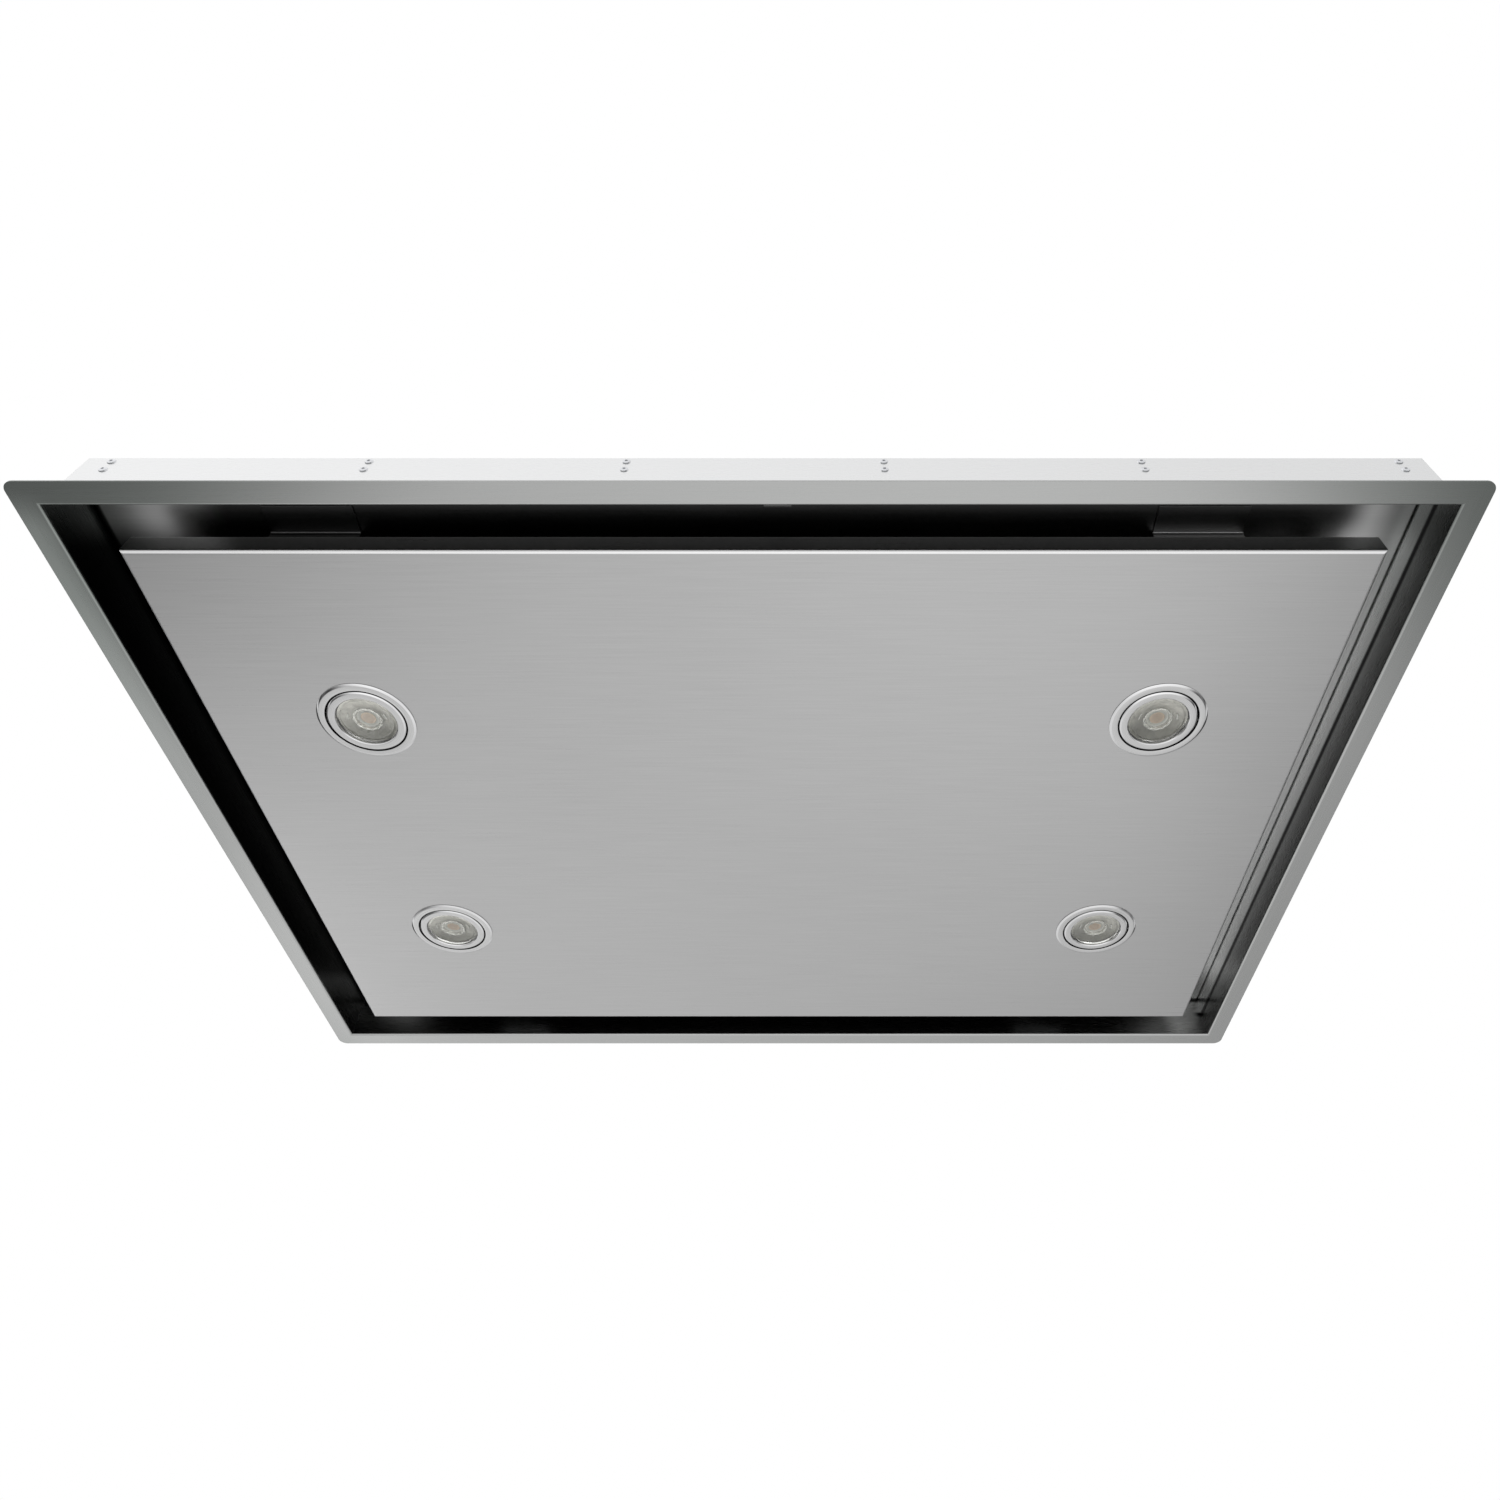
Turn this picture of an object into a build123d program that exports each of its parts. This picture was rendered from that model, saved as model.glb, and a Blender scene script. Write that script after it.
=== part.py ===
from build123d import *
from math import atan2, cos, pi, sin
import os

# Flush ceiling range hood with perimeter suction. Millimetres, +Z up.
# Origin: centre of the ceiling cut-out, on the ceiling surface (the flange's upper face).
# -Y is the side where the panel drops open, +Y the side of its hinges.

# ---- driving sizes: casing ----
flange_length = 1000.0
flange_width = 700.0
flange_rim = 18.0
frame_sheet = 1.2
fold_radius = 0.6  # inside of the fold between flange and wall
flange_corner = 8.0
casing_height = 66.0  # flange underside to casing top

pan_sheet = 1.0
pan_bend = 2.0  # outside radius of the pan's and the cover's folds
pan_fit = 0.15  # pan and cover lips to the casing wall
recess_depth = 45.0  # flange underside to pan underside
cover_sheet = 1.0

# ---- rivets ----
rivet_radius = 3.2
rivet_face_radius = 1.9
rivet_height = 1.1
rivet_facets = 8
rivet_edge = 5.5  # rivet centre to the free edge of a lip or of the casing
rivet_row_gap = 11.4
rivet_end_inset = 19.0  # first rivet pair to the casing corner
long_row_count = 6  # rivet pairs along a long side
short_row_count = 4

# ---- suction panel ----
suction_gap = 35.5
panel_sheet = 1.0
panel_depth = 20.0
panel_bend = 3.0
panel_top_bend = 2.0
panel_return = 16.0
rail_width = 30.0
rail_height = 12.0
rail_foot = 11.0
rail_inset = 296.5  # rail in from the panel's end
rail_end_gap = 20.0

# ---- panel hinge ----
hinge_end_inset = 146.5  # hinge in from the panel's end
hinge_inset = 6.5  # hinge axis in from the panel's far edge
hinge_height = 30.0  # hinge axis above the ceiling surface
hinge_pin_radius = 2.5
hinge_running_fit = 0.08
eye_radius = 4.5
leaf_sheet = 1.5
leaf_foot = 24.0
leaf_setback = 1.0  # moving leaf's foot behind the edge of the panel's return
eye_length = 26.0
eye_gap = 0.5

# ---- magnetic catches ----
catch_end_inset = 119.5  # catch in from the panel's end
catch_width = 67.0
catch_sheet = 1.2
catch_leg_inset = 48.0  # catch leg in from the near casing wall
catch_foot = 23.0
magnet_length = 50.0
magnet_depth = 12.0
magnet_height = 14.0
strike_width = 60.0
strike_depth = 22.0
strike_sheet = 1.2
body_gap = 0.4  # between pieces that part when something opens
catch_leg_rise = 1.0  # end of the catch's leg above the magnet's underside

# ---- spot lamps ----
lamp_end_inset = 126.5  # lamp in from the panel's short side
lamp_side_inset = 158.5  # lamp in from the panel's long side
trim_radius = 39.0
trim_face_radius = 36.6
trim_proud = 1.3
trim_bore_radius = 32.1
trim_neck_wall = 2.2
trim_neck_height = 8.0
neck_clearance = 0.7  # trim neck to the panel's hole
ring_clearance = 0.85  # tilting ring to the trim's bore
ring_thickness = 7.0
ring_edge_width = 1.7  # bevel round the ring's face
ring_edge_height = 1.0
ring_proud = 0.5  # ring face below the trim's face
lens_radius = 24.0
lens_clearance = 0.1
lens_recess = 0.8
lens_facets = 36
pivot_radius = 1.0  # pivot pins of the ring
pivot_rise = 3.6  # pivot axis above the ring's face
pivot_reach = 1.9  # pivot pin beyond the trim's bore
pivot_fit = 0.1
sink_root_radius = 18.0
sink_tip_radius = 26.0
sink_fins = 12
sink_fin_share = 0.42  # part of a fin's pitch that is metal
sink_height = 23.0

# ---- grease filters ----
aperture_length = 320.0
aperture_width = 380.0
aperture_bridge = 24.0
filter_fit = 1.0
filter_drop = 2.0  # filter frame below the pan's underside
filter_height = 10.0
filter_rail = 14.0
mesh_sheet = 2.0
tab_width = 30.0
tab_reach = 5.0
tab_sheet = 1.5
tab_spread = 200.0

# ---- filter latches ----
latch_block_length = 56.0
latch_wall = 3.0
latch_roof = 2.0
latch_well_length = 34.0
latch_rebate = 4.0
latch_plate_thickness = 3.0
latch_bolt_width = 16.0
latch_bolt_reach = 4.2
latch_travel = 5.5
latch_plate_depth = 8.0
latch_clearance = 0.35
latch_spring_room = 5.0  # well left behind the plate when it is drawn back
latch_grip_length = 27.0

# ---- blower ----
wheel_radius = 70.0
wheel_half_width = 46.0
wheel_disc = 1.6
wheel_ring_height = 4.0
wheel_ring_lap = 0.5  # inlet ring inside the blades' inner edge
blade_count = 22
blade_inner_radius = 56.0
blade_thickness = 1.0
blade_lean_deg = 12.0
blade_bow = 3.0
blade_end_inset = 0.5  # blade's ends inside the disc and the ring
hub_radius = 12.0
hub_length = 24.0
shaft_radius = 4.0
shaft_fit = 0.1
scroll_sheet = 1.0
scroll_half_width = 55.0
scroll_growth = 14.4  # per quarter turn
scroll_reach = 125.0
tongue_deg = 60.0
inlet_radius = 57.0
shaft_hole_radius = 14.0
outlet_flange = 172.0
motor_radius = 42.0
motor_length = 66.0
motor_flange_side = 96.0
motor_flange = 3.0
motor_bearing_depth = 30.0
shaft_end_gap = 1.0
scroll_floor_gap = 5.0

# ---- motor box, duct collar and dampers ----
box_length = 420.0
box_width = 330.0
box_height = 230.0
box_sheet = 1.0
box_bend = 2.0
box_foot = 14.0
intake_rim = 45.0  # cover left standing inside the motor box
collar_radius = 74.5
collar_sheet = 1.0
collar_height = 50.0
collar_foot = 12.0  # square foot beyond the collar's wall
collar_foot_sheet = 1.5
damper_height = 24.0
damper_pin_radius = 1.5
damper_fit = 0.1
flap_clearance = 1.0
flap_sheet = 1.0
flap_edge = 3.6  # flap's straight edge from the pin's axis
knuckle_radius = 3.2
knuckle_length = 60.0
knuckle_gap = 1.0
stop_length = 10.0
stop_reach = 4.0
stop_sheet = 1.5

# ---- electrics ----
capacitor_size = (30.0, 60.0, 42.0)
capacitor_corner = 5.0
control_length = 150.0
control_width = 190.0
control_height = 46.0
control_gap = 22.0
driver_length = 46.0
driver_width = 170.0
driver_height = 30.0
driver_corner = 3.0
inlet_hex_radius = 11.0
inlet_length = 16.0
inlet_bore_radius = 5.0
receiver_x = 18.0
receiver_width = 19.0
receiver_height = 12.0
receiver_depth = 3.0
receiver_rise = 3.0  # above the flange's upper face

# ---- ceiling hangers ----
hanger_inset = 52.0  # ceiling rod in from the casing's walls
hanger_width = 40.0
hanger_sheet = 2.5
hanger_shelf = 36.0
hanger_foot = 26.0
hanger_rise = 30.0
hanger_bend = 4.0
rod_hole_radius = 4.5

# ---- levels and spans that follow ----
opening_length = flange_length - 2 * flange_rim
opening_width = flange_width - 2 * flange_rim
flange_under = -frame_sheet
casing_top = flange_under + casing_height
pan_under = flange_under + recess_depth
pan_top = pan_under + pan_sheet
upper_row = casing_top - rivet_edge
lower_row = upper_row - rivet_row_gap
pan_lip = lower_row + rivet_edge - pan_under
cover_lip = 2 * rivet_edge

panel_length = opening_length - 2 * suction_gap
panel_width = opening_width - 2 * suction_gap
panel_floor = flange_under + panel_sheet
panel_top = flange_under + panel_depth
near_wall = -opening_width / 2
hinge_y = panel_width / 2 - hinge_inset
hinge_x = panel_length / 2 - hinge_end_inset
catch_x = panel_length / 2 - catch_end_inset
rail_x = panel_length / 2 - rail_inset
hanger_x = opening_length / 2 - hanger_inset
hanger_y = opening_width / 2 - hanger_inset

lamp_x = panel_length / 2 - lamp_end_inset
lamp_y = panel_width / 2 - lamp_side_inset
lamp_centres = [(x, y) for y in (-lamp_y, lamp_y) for x in (-lamp_x, lamp_x)]
trim_under = flange_under - trim_proud
ring_under = trim_under - ring_proud
ring_radius = trim_bore_radius - ring_clearance
pivot_z = ring_under + pivot_rise
ring_top = ring_under + ring_thickness

filter_length = aperture_length - 2 * filter_fit
filter_width = aperture_width - 2 * filter_fit
filter_under = pan_under - filter_drop
filter_x = (aperture_length + aperture_bridge) / 2
filter_near = -filter_width / 2
latch_well_depth = latch_clearance + latch_plate_depth + latch_travel + latch_spring_room
latch_block_depth = latch_well_depth + 2 * latch_wall

box_top = casing_top + box_height
fan_z = casing_top + scroll_floor_gap + scroll_reach - scroll_growth
outlet_top = box_top - box_sheet

through = 12.0  # height of cutters that pass right through a sheet
overlap = 1.0  # how far two bodies run into each other before they are joined

MID = (Align.CENTER, Align.CENTER, Align.CENTER)
ON_FLOOR = (Align.CENTER, Align.CENTER, Align.MIN)
HANGING = (Align.CENTER, Align.CENTER, Align.MAX)


def folded_tray(length, width, depth, sheet, bend):
    """Sheet tray, floor down, with its corners notched for the folds."""
    block = Box(length, width, depth, align=ON_FLOOR)
    block = fillet(block.edges().group_by(Axis.Z)[0], bend)
    tray = offset(block, -sheet, openings=block.faces().sort_by(Axis.Z)[-1])
    for x in (-length / 2, length / 2):
        for y in (-width / 2, width / 2):
            tray -= Pos(x, y, 0) * Box(2 * bend, 2 * bend, 3 * depth, align=MID)
    return tray


def strip(points, sheet, bend, width):
    """Bent strip whose middle line runs through points in the YZ plane, centred on X."""
    line = FilletPolyline(*points, radius=bend)
    return extrude(Plane.YZ * trace(line, line_width=sheet), amount=width / 2, both=True)


# ---- casing ----
def outer_frame():
    wall_height = casing_height - frame_sheet
    flange = Rectangle(flange_rim, frame_sheet, align=(Align.MIN, Align.MAX))
    wall = Pos(0, -frame_sheet) * Rectangle(
        frame_sheet, frame_sheet + wall_height, align=(Align.MIN, Align.MIN)
    )
    profile = flange + wall
    outside = profile.vertices().sort_by(Axis.Y).group_by(Axis.Y)[0].sort_by(Axis.X)[0]
    profile = fillet(outside, fold_radius + frame_sheet)
    inside = profile.vertices().sort_by_distance((frame_sheet, 0))[0]
    profile = fillet(inside, fold_radius)
    mouth = Rectangle(opening_length, opening_width).wire()
    section = Plane.XZ * Pos(opening_length / 2, 0) * profile
    frame = sweep(section, path=mouth, transition=Transition.RIGHT)
    corners = frame.edges().filter_by(Axis.Z).group_by(SortBy.LENGTH)[0]
    return fillet(corners, flange_corner)


def recess_pan():
    pan = folded_tray(
        opening_length - 2 * pan_fit, opening_width - 2 * pan_fit, pan_lip, pan_sheet, pan_bend
    )
    for x in (-filter_x, filter_x):
        pan -= Pos(x, 0, 0) * Box(aperture_length, aperture_width, 4 * pan_sheet, align=MID)
    return Pos(0, 0, pan_under) * pan


def top_cover():
    cover = folded_tray(
        opening_length - 2 * pan_fit, opening_width - 2 * pan_fit, cover_lip, cover_sheet, pan_bend
    )
    intake = Box(
        box_length - 2 * intake_rim, box_width - 2 * intake_rim, 4 * cover_sheet, align=MID
    )
    return Pos(0, 0, casing_top) * Rot(180, 0, 0) * (cover - intake)


def wall_rivets():
    taper = atan2(rivet_radius - rivet_face_radius, rivet_height) * 180 / pi
    head = extrude(RegularPolygon(rivet_radius, rivet_facets), rivet_height, taper=taper)
    half_length = opening_length / 2 + frame_sheet
    half_width = opening_width / 2 + frame_sheet
    heads = []
    for side, reach, half_span, pairs in (
        (0, half_length, half_width, short_row_count),
        (90, half_width, half_length, long_row_count),
        (180, half_length, half_width, short_row_count),
        (270, half_width, half_length, long_row_count),
    ):
        first = half_span - rivet_end_inset
        for pair in range(pairs):
            along = first - 2 * first * pair / (pairs - 1)
            for row in (lower_row, upper_row):
                heads.append(Rot(0, 0, side) * Pos(reach, along, row) * Rot(0, 90, 0) * head)
    return Compound(children=heads)


# ---- suction panel ----
def suction_panel():
    block = Box(panel_length, panel_width, panel_depth, align=ON_FLOOR)
    block = fillet(block.edges().group_by(Axis.Z)[0], panel_bend)
    block = fillet(block.edges().group_by(Axis.Z)[-1], panel_top_bend)
    panel = block - offset(block, -panel_sheet)
    mouth = Box(
        panel_length - 2 * panel_return, panel_width - 2 * panel_return, panel_depth, align=ON_FLOOR
    )
    panel -= Pos(0, 0, panel_depth / 2) * mouth
    hole_radius = trim_bore_radius + trim_neck_wall + neck_clearance
    for x, y in lamp_centres:
        panel -= Pos(x, y, 0) * Cylinder(hole_radius, 4 * panel_sheet, align=MID)
    return Pos(0, 0, flange_under) * panel


def panel_rail(x):
    """Hat section along Y that stiffens the panel's floor."""
    half = rail_width / 2
    low = panel_sheet / 2
    line = FilletPolyline(
        (-half - rail_foot, low),
        (-half, low),
        (-half, rail_height - low),
        (half, rail_height - low),
        (half, low),
        (half + rail_foot, low),
        radius=2 * panel_sheet,
    )
    hat = trace(line, line_width=panel_sheet)
    length = panel_width - 2 * (panel_return + rail_end_gap)
    return Pos(x, 0, panel_floor) * extrude(Plane.XZ * hat, amount=length / 2, both=True)


# ---- panel hinges: lift-off pairs, one knuckle on each leaf ----
def hinge_leaf(points, eye_x):
    """Bent leaf of one knuckle's length, centred on eye_x, with its bore on the hinge axis."""
    axis = Pos(0, hinge_y, hinge_height)
    bore = extrude(Plane.YZ * Circle(hinge_pin_radius + hinge_running_fit), eye_length, both=True)
    eye = extrude(Plane.YZ * Circle(eye_radius), amount=eye_length / 2, both=True)
    plate = strip(points, leaf_sheet, leaf_sheet, eye_length)
    return Pos(eye_x, 0, 0) * (plate + axis * eye - axis * bore)


eye_offset = (eye_length + eye_gap) / 2


def hinge_fixed_leaf(x):
    seat = pan_under - leaf_sheet / 2
    leg_end = hinge_height + hinge_pin_radius
    points = [(hinge_y - leaf_foot, seat), (hinge_y, seat), (hinge_y, leg_end)]
    return hinge_leaf(points, x - eye_offset)


def hinge_moving_leaf(x):
    seat = panel_top + leaf_sheet / 2
    foot_end = panel_width / 2 - panel_return + leaf_setback
    leg_end = hinge_height - hinge_pin_radius
    points = [(foot_end, seat), (hinge_y, seat), (hinge_y, leg_end)]
    return hinge_leaf(points, x + eye_offset)


def hinge_pins():
    pin = extrude(Plane.YZ * Circle(hinge_pin_radius), amount=eye_length + eye_gap, both=True)
    return Compound(children=[Pos(x, hinge_y, hinge_height) * pin for x in (-hinge_x, hinge_x)])


# ---- magnetic catches ----
leg_y = near_wall + catch_leg_inset
magnet_under = panel_top + strike_sheet + body_gap


def catch_bracket(x):
    seat = pan_under - catch_sheet / 2
    return Pos(x, 0, 0) * strip(
        [(leg_y - catch_foot, seat), (leg_y, seat), (leg_y, magnet_under + catch_leg_rise)],
        catch_sheet,
        2 * catch_sheet,
        catch_width,
    )


def catch_magnets():
    magnet = Box(
        magnet_length,
        magnet_depth,
        magnet_height,
        align=(Align.CENTER, Align.MIN, Align.MIN),
    )
    place = Pos(0, leg_y + catch_sheet / 2, magnet_under)
    return Compound(children=[Pos(x, 0, 0) * place * magnet for x in (-catch_x, catch_x)])


def strike_plates():
    strike = Box(
        strike_width, strike_depth, strike_sheet, align=(Align.CENTER, Align.MAX, Align.MIN)
    )
    place = Pos(0, leg_y + catch_sheet / 2 + magnet_depth, panel_top)
    return Compound(children=[Pos(x, 0, 0) * place * strike for x in (-catch_x, catch_x)])


# ---- spot lamps ----
def lamp_trims():
    neck_radius = trim_bore_radius + trim_neck_wall
    neck_top = flange_under + trim_neck_height
    profile = Polyline(
        (trim_bore_radius, trim_under),
        (trim_face_radius, trim_under),
        (trim_radius, flange_under),
        (neck_radius, flange_under),
        (neck_radius, neck_top),
        (trim_bore_radius, neck_top),
        close=True,
    )
    trim = revolve(Plane.XZ * make_face(profile), axis=Axis.Z)
    slot_half = pivot_radius + pivot_fit
    slot = Box(3 * neck_radius, 2 * slot_half, trim_neck_height, align=ON_FLOOR)
    trim -= Pos(0, 0, pivot_z - slot_half) * slot
    return Compound(children=[Pos(x, y, 0) * trim for x, y in lamp_centres])


def lamp_ring(x, y):
    """Tilting ring with the two pivot pins that hang in the trim's slots."""
    rim_height = ring_thickness - ring_edge_height
    ring = Cylinder(ring_radius, rim_height, align=ON_FLOOR)
    ring = Pos(0, 0, ring_edge_height) * ring + Cone(
        ring_radius - ring_edge_width, ring_radius, ring_edge_height, align=ON_FLOOR
    )
    pins = Rot(0, 90, 0) * Cylinder(pivot_radius, 2 * (trim_bore_radius + pivot_reach), align=MID)
    ring += Pos(0, 0, pivot_rise) * pins
    ring -= extrude(RegularPolygon(lens_radius + lens_clearance, lens_facets), ring_thickness)
    return Pos(x, y, ring_under) * ring


def lamp_lens(x, y):
    depth = ring_thickness - lens_recess
    lens = extrude(RegularPolygon(lens_radius, lens_facets), amount=depth)
    return Pos(x, y, ring_under + lens_recess) * lens


def lamp_housing(x, y):
    """Finned heat sink that stands on the ring."""
    pitch = 2 * pi / sink_fins
    half = sink_fin_share * pitch / 2
    outline = []
    for fin in range(sink_fins):
        middle = fin * pitch
        for radius, angle in (
            (sink_root_radius, middle - half),
            (sink_tip_radius, middle - half * sink_root_radius / sink_tip_radius),
            (sink_tip_radius, middle + half * sink_root_radius / sink_tip_radius),
            (sink_root_radius, middle + half),
        ):
            outline.append((radius * cos(angle), radius * sin(angle)))
    body = extrude(make_face(Polyline(*outline, close=True)), amount=sink_height)
    return Pos(x, y, ring_top) * body


# ---- grease filters ----
bolt_under = pan_top + latch_clearance
well_top = filter_under + filter_height - latch_roof


def filter_frame(x):
    frame = Box(filter_length, filter_width, filter_height, align=ON_FLOOR)
    window = Box(
        filter_length - 2 * filter_rail, filter_width - 2 * filter_rail, 3 * filter_height, align=MID
    )
    block = Pos(0, filter_near, 0) * Box(
        latch_block_length,
        latch_block_depth,
        filter_height,
        align=(Align.CENTER, Align.MIN, Align.MIN),
    )
    frame = Pos(0, 0, filter_under) * (frame - window + block)
    forward = (Align.CENTER, Align.MIN, Align.MIN)
    well_near = filter_near + latch_wall
    well = Box(latch_well_length, latch_well_depth, well_top - filter_under, align=forward)
    frame -= Pos(0, well_near, filter_under) * well
    slot_height = latch_plate_thickness + 2 * latch_clearance
    slot_under = bolt_under - latch_clearance
    grooves = Box(
        latch_well_length + 2 * latch_rebate, latch_well_depth, slot_height, align=forward
    )
    frame -= Pos(0, well_near, slot_under) * grooves
    mouth = Box(
        latch_bolt_width + 2 * latch_clearance, 2 * latch_wall, slot_height, align=forward
    )
    frame -= Pos(0, filter_near - latch_wall, slot_under) * mouth
    tab = Box(
        tab_width, filter_rail + tab_reach, tab_sheet, align=(Align.CENTER, Align.MIN, Align.MIN)
    )
    for along in (-tab_spread / 2, tab_spread / 2):
        frame += Pos(along, -filter_near - filter_rail, pan_top) * tab
    return Pos(x, 0, 0) * frame


def filter_mesh(x):
    length = filter_length - 2 * filter_rail
    width = filter_width - 2 * filter_rail
    mesh = Box(length, width, mesh_sheet, align=MID)
    notch_depth = latch_block_depth - filter_rail
    notch = Box(latch_block_length, 2 * notch_depth, through, align=MID)
    mesh -= Pos(0, -width / 2, 0) * notch
    return Pos(x, 0, filter_under + filter_height / 2) * mesh


def filter_latch(x):
    """Sliding bolt that rests on the pan, with a grip reached from below."""
    plate_near = filter_near + latch_wall + latch_clearance
    plate_length = latch_well_length + 2 * (latch_rebate - latch_clearance)
    plate = Box(
        plate_length,
        latch_plate_depth,
        latch_plate_thickness,
        align=(Align.CENTER, Align.MIN, Align.MIN),
    )
    bolt = Box(
        latch_bolt_width,
        latch_bolt_reach + latch_wall + latch_clearance + overlap,
        latch_plate_thickness,
        align=(Align.CENTER, Align.MIN, Align.MIN),
    )
    grip_under = filter_under + latch_clearance
    grip = Box(
        latch_grip_length,
        latch_plate_depth,
        bolt_under - grip_under,
        align=(Align.CENTER, Align.MIN, Align.MIN),
    )
    latch = Pos(0, plate_near, bolt_under) * plate
    latch += Pos(0, filter_near - latch_bolt_reach, bolt_under) * bolt
    latch += Pos(0, plate_near, grip_under) * grip
    return Pos(x, 0, 0) * latch


# ---- blower ----
# Four-centre volute: each quarter turn has its own centre on a small square.
half_growth = scroll_growth / 2
quarter_radius = [scroll_reach - half_growth - scroll_growth * turn for turn in range(4)]
tongue = (
    -half_growth + quarter_radius[3] * cos(tongue_deg * pi / 180),
    half_growth + quarter_radius[3] * sin(tongue_deg * pi / 180),
)
scroll_left = half_growth - quarter_radius[1]
fan_y = -(scroll_reach + scroll_left) / 2
outlet_width = scroll_reach - tongue[0]
outlet_y = fan_y + (scroll_reach + tongue[0]) / 2
fan_plane = Plane(origin=(0, fan_y, fan_z), x_dir=(0, 1, 0), z_dir=(1, 0, 0))


def fan_scroll():
    h = half_growth
    mouth_z = outlet_top - fan_z
    outline = make_face(
        [
            CenterArc((h, h), quarter_radius[0], 270, 90),
            CenterArc((h, -h), quarter_radius[1], 180, 90),
            CenterArc((-h, -h), quarter_radius[2], 90, 90),
            CenterArc((-h, h), quarter_radius[3], tongue_deg, 90 - tongue_deg),
            Line(tongue, (tongue[0], mouth_z)),
            Line((tongue[0], mouth_z), (scroll_reach, mouth_z)),
            Line((scroll_reach, mouth_z), (scroll_reach, h)),
        ]
    )
    block = extrude(fan_plane * outline, amount=scroll_half_width, both=True)
    scroll = offset(block, -scroll_sheet, openings=block.faces().sort_by(Axis.Z)[-1])
    across = fan_plane * Pos(0, 0, -scroll_half_width)
    scroll -= across * Cylinder(inlet_radius, 4 * scroll_sheet, align=MID)
    back = fan_plane * Pos(0, 0, scroll_half_width)
    scroll -= back * Cylinder(shaft_hole_radius, 4 * scroll_sheet, align=MID)
    flange = Box(outlet_flange, outlet_flange, scroll_sheet, align=HANGING)
    flange -= Box(
        2 * (scroll_half_width - scroll_sheet), outlet_width - 2 * scroll_sheet, through, align=MID
    )
    return scroll + Pos(0, outlet_y, outlet_top) * flange


def blade():
    """Forward-curved blade section between the two wheel radii."""
    lean = blade_lean_deg * pi / 180
    outer = wheel_radius - blade_thickness
    half = blade_thickness / 2
    mid_radius = (blade_inner_radius + outer) / 2
    mid_angle = lean / 2
    middle = (mid_radius * cos(mid_angle), mid_radius * sin(mid_angle) - blade_bow)
    start = (blade_inner_radius, 0)
    end = (outer * cos(lean), outer * sin(lean))
    lower = ThreePointArc(
        (start[0], start[1] - half), (middle[0], middle[1] - half), (end[0], end[1] - half)
    )
    upper = ThreePointArc(
        (start[0], start[1] + half), (middle[0], middle[1] + half), (end[0], end[1] + half)
    )
    return make_face([lower, Line(lower @ 1, upper @ 1), upper, Line(upper @ 0, lower @ 0)])


def impeller():
    """Single-inlet squirrel cage: back disc and hub towards the motor, ring at the inlet."""
    ring_inner = blade_inner_radius - wheel_ring_lap
    top = wheel_half_width
    disc = Pos(0, 0, top - wheel_disc) * Cylinder(wheel_radius, wheel_disc, align=ON_FLOOR)
    hub = Pos(0, 0, top - hub_length) * Cylinder(hub_radius, hub_length, align=ON_FLOOR)
    ring = Cylinder(wheel_radius, wheel_ring_height, align=ON_FLOOR)
    ring -= Cylinder(ring_inner, 3 * wheel_ring_height, align=MID)
    vane = extrude(blade(), amount=2 * (top - blade_end_inset))
    vane = Pos(0, 0, blade_end_inset - top) * vane
    blades = [place * vane for place in PolarLocations(0, blade_count)]
    wheel = disc + hub + Pos(0, 0, -top) * ring + blades
    wheel -= Cylinder(shaft_radius + shaft_fit / 2, 3 * top, align=MID)
    return fan_plane * wheel


def motor_shaft():
    start = wheel_half_width - hub_length
    end = scroll_half_width + motor_bearing_depth - shaft_end_gap
    return fan_plane * Pos(0, 0, start) * Cylinder(shaft_radius, end - start, align=ON_FLOOR)


def fan_motor():
    flange = Box(motor_flange_side, motor_flange_side, motor_flange, align=ON_FLOOR)
    motor = flange + Cylinder(motor_radius, motor_length, align=ON_FLOOR)
    motor -= Cylinder(shaft_radius + shaft_fit, 2 * motor_bearing_depth, align=MID)
    return fan_plane * Pos(0, 0, scroll_half_width) * motor


def run_capacitor():
    length, width, height = capacitor_size
    x = box_length / 2 - box_sheet - length / 2
    can = Box(length, width, height, align=ON_FLOOR)
    can = fillet(can.edges().filter_by(Axis.Z), capacitor_corner)
    return Pos(x, 0, casing_top) * can


# ---- motor box, duct collar and dampers ----
def motor_box():
    box = folded_tray(box_length, box_width, box_height, box_sheet, box_bend)
    box = Pos(0, 0, box_height) * Rot(180, 0, 0) * box
    foot = Box(box_length + 2 * box_foot, box_width + 2 * box_foot, box_sheet, align=ON_FLOOR)
    foot -= Box(box_length - 2 * box_sheet, box_width - 2 * box_sheet, through, align=MID)
    bore = collar_radius - collar_sheet
    box = box + foot - Pos(0, outlet_y, box_height) * Cylinder(bore, 4 * box_sheet, align=MID)
    return Pos(0, 0, casing_top) * box


damper_z = box_top + damper_height
flap_radius = collar_radius - collar_sheet - flap_clearance


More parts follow.
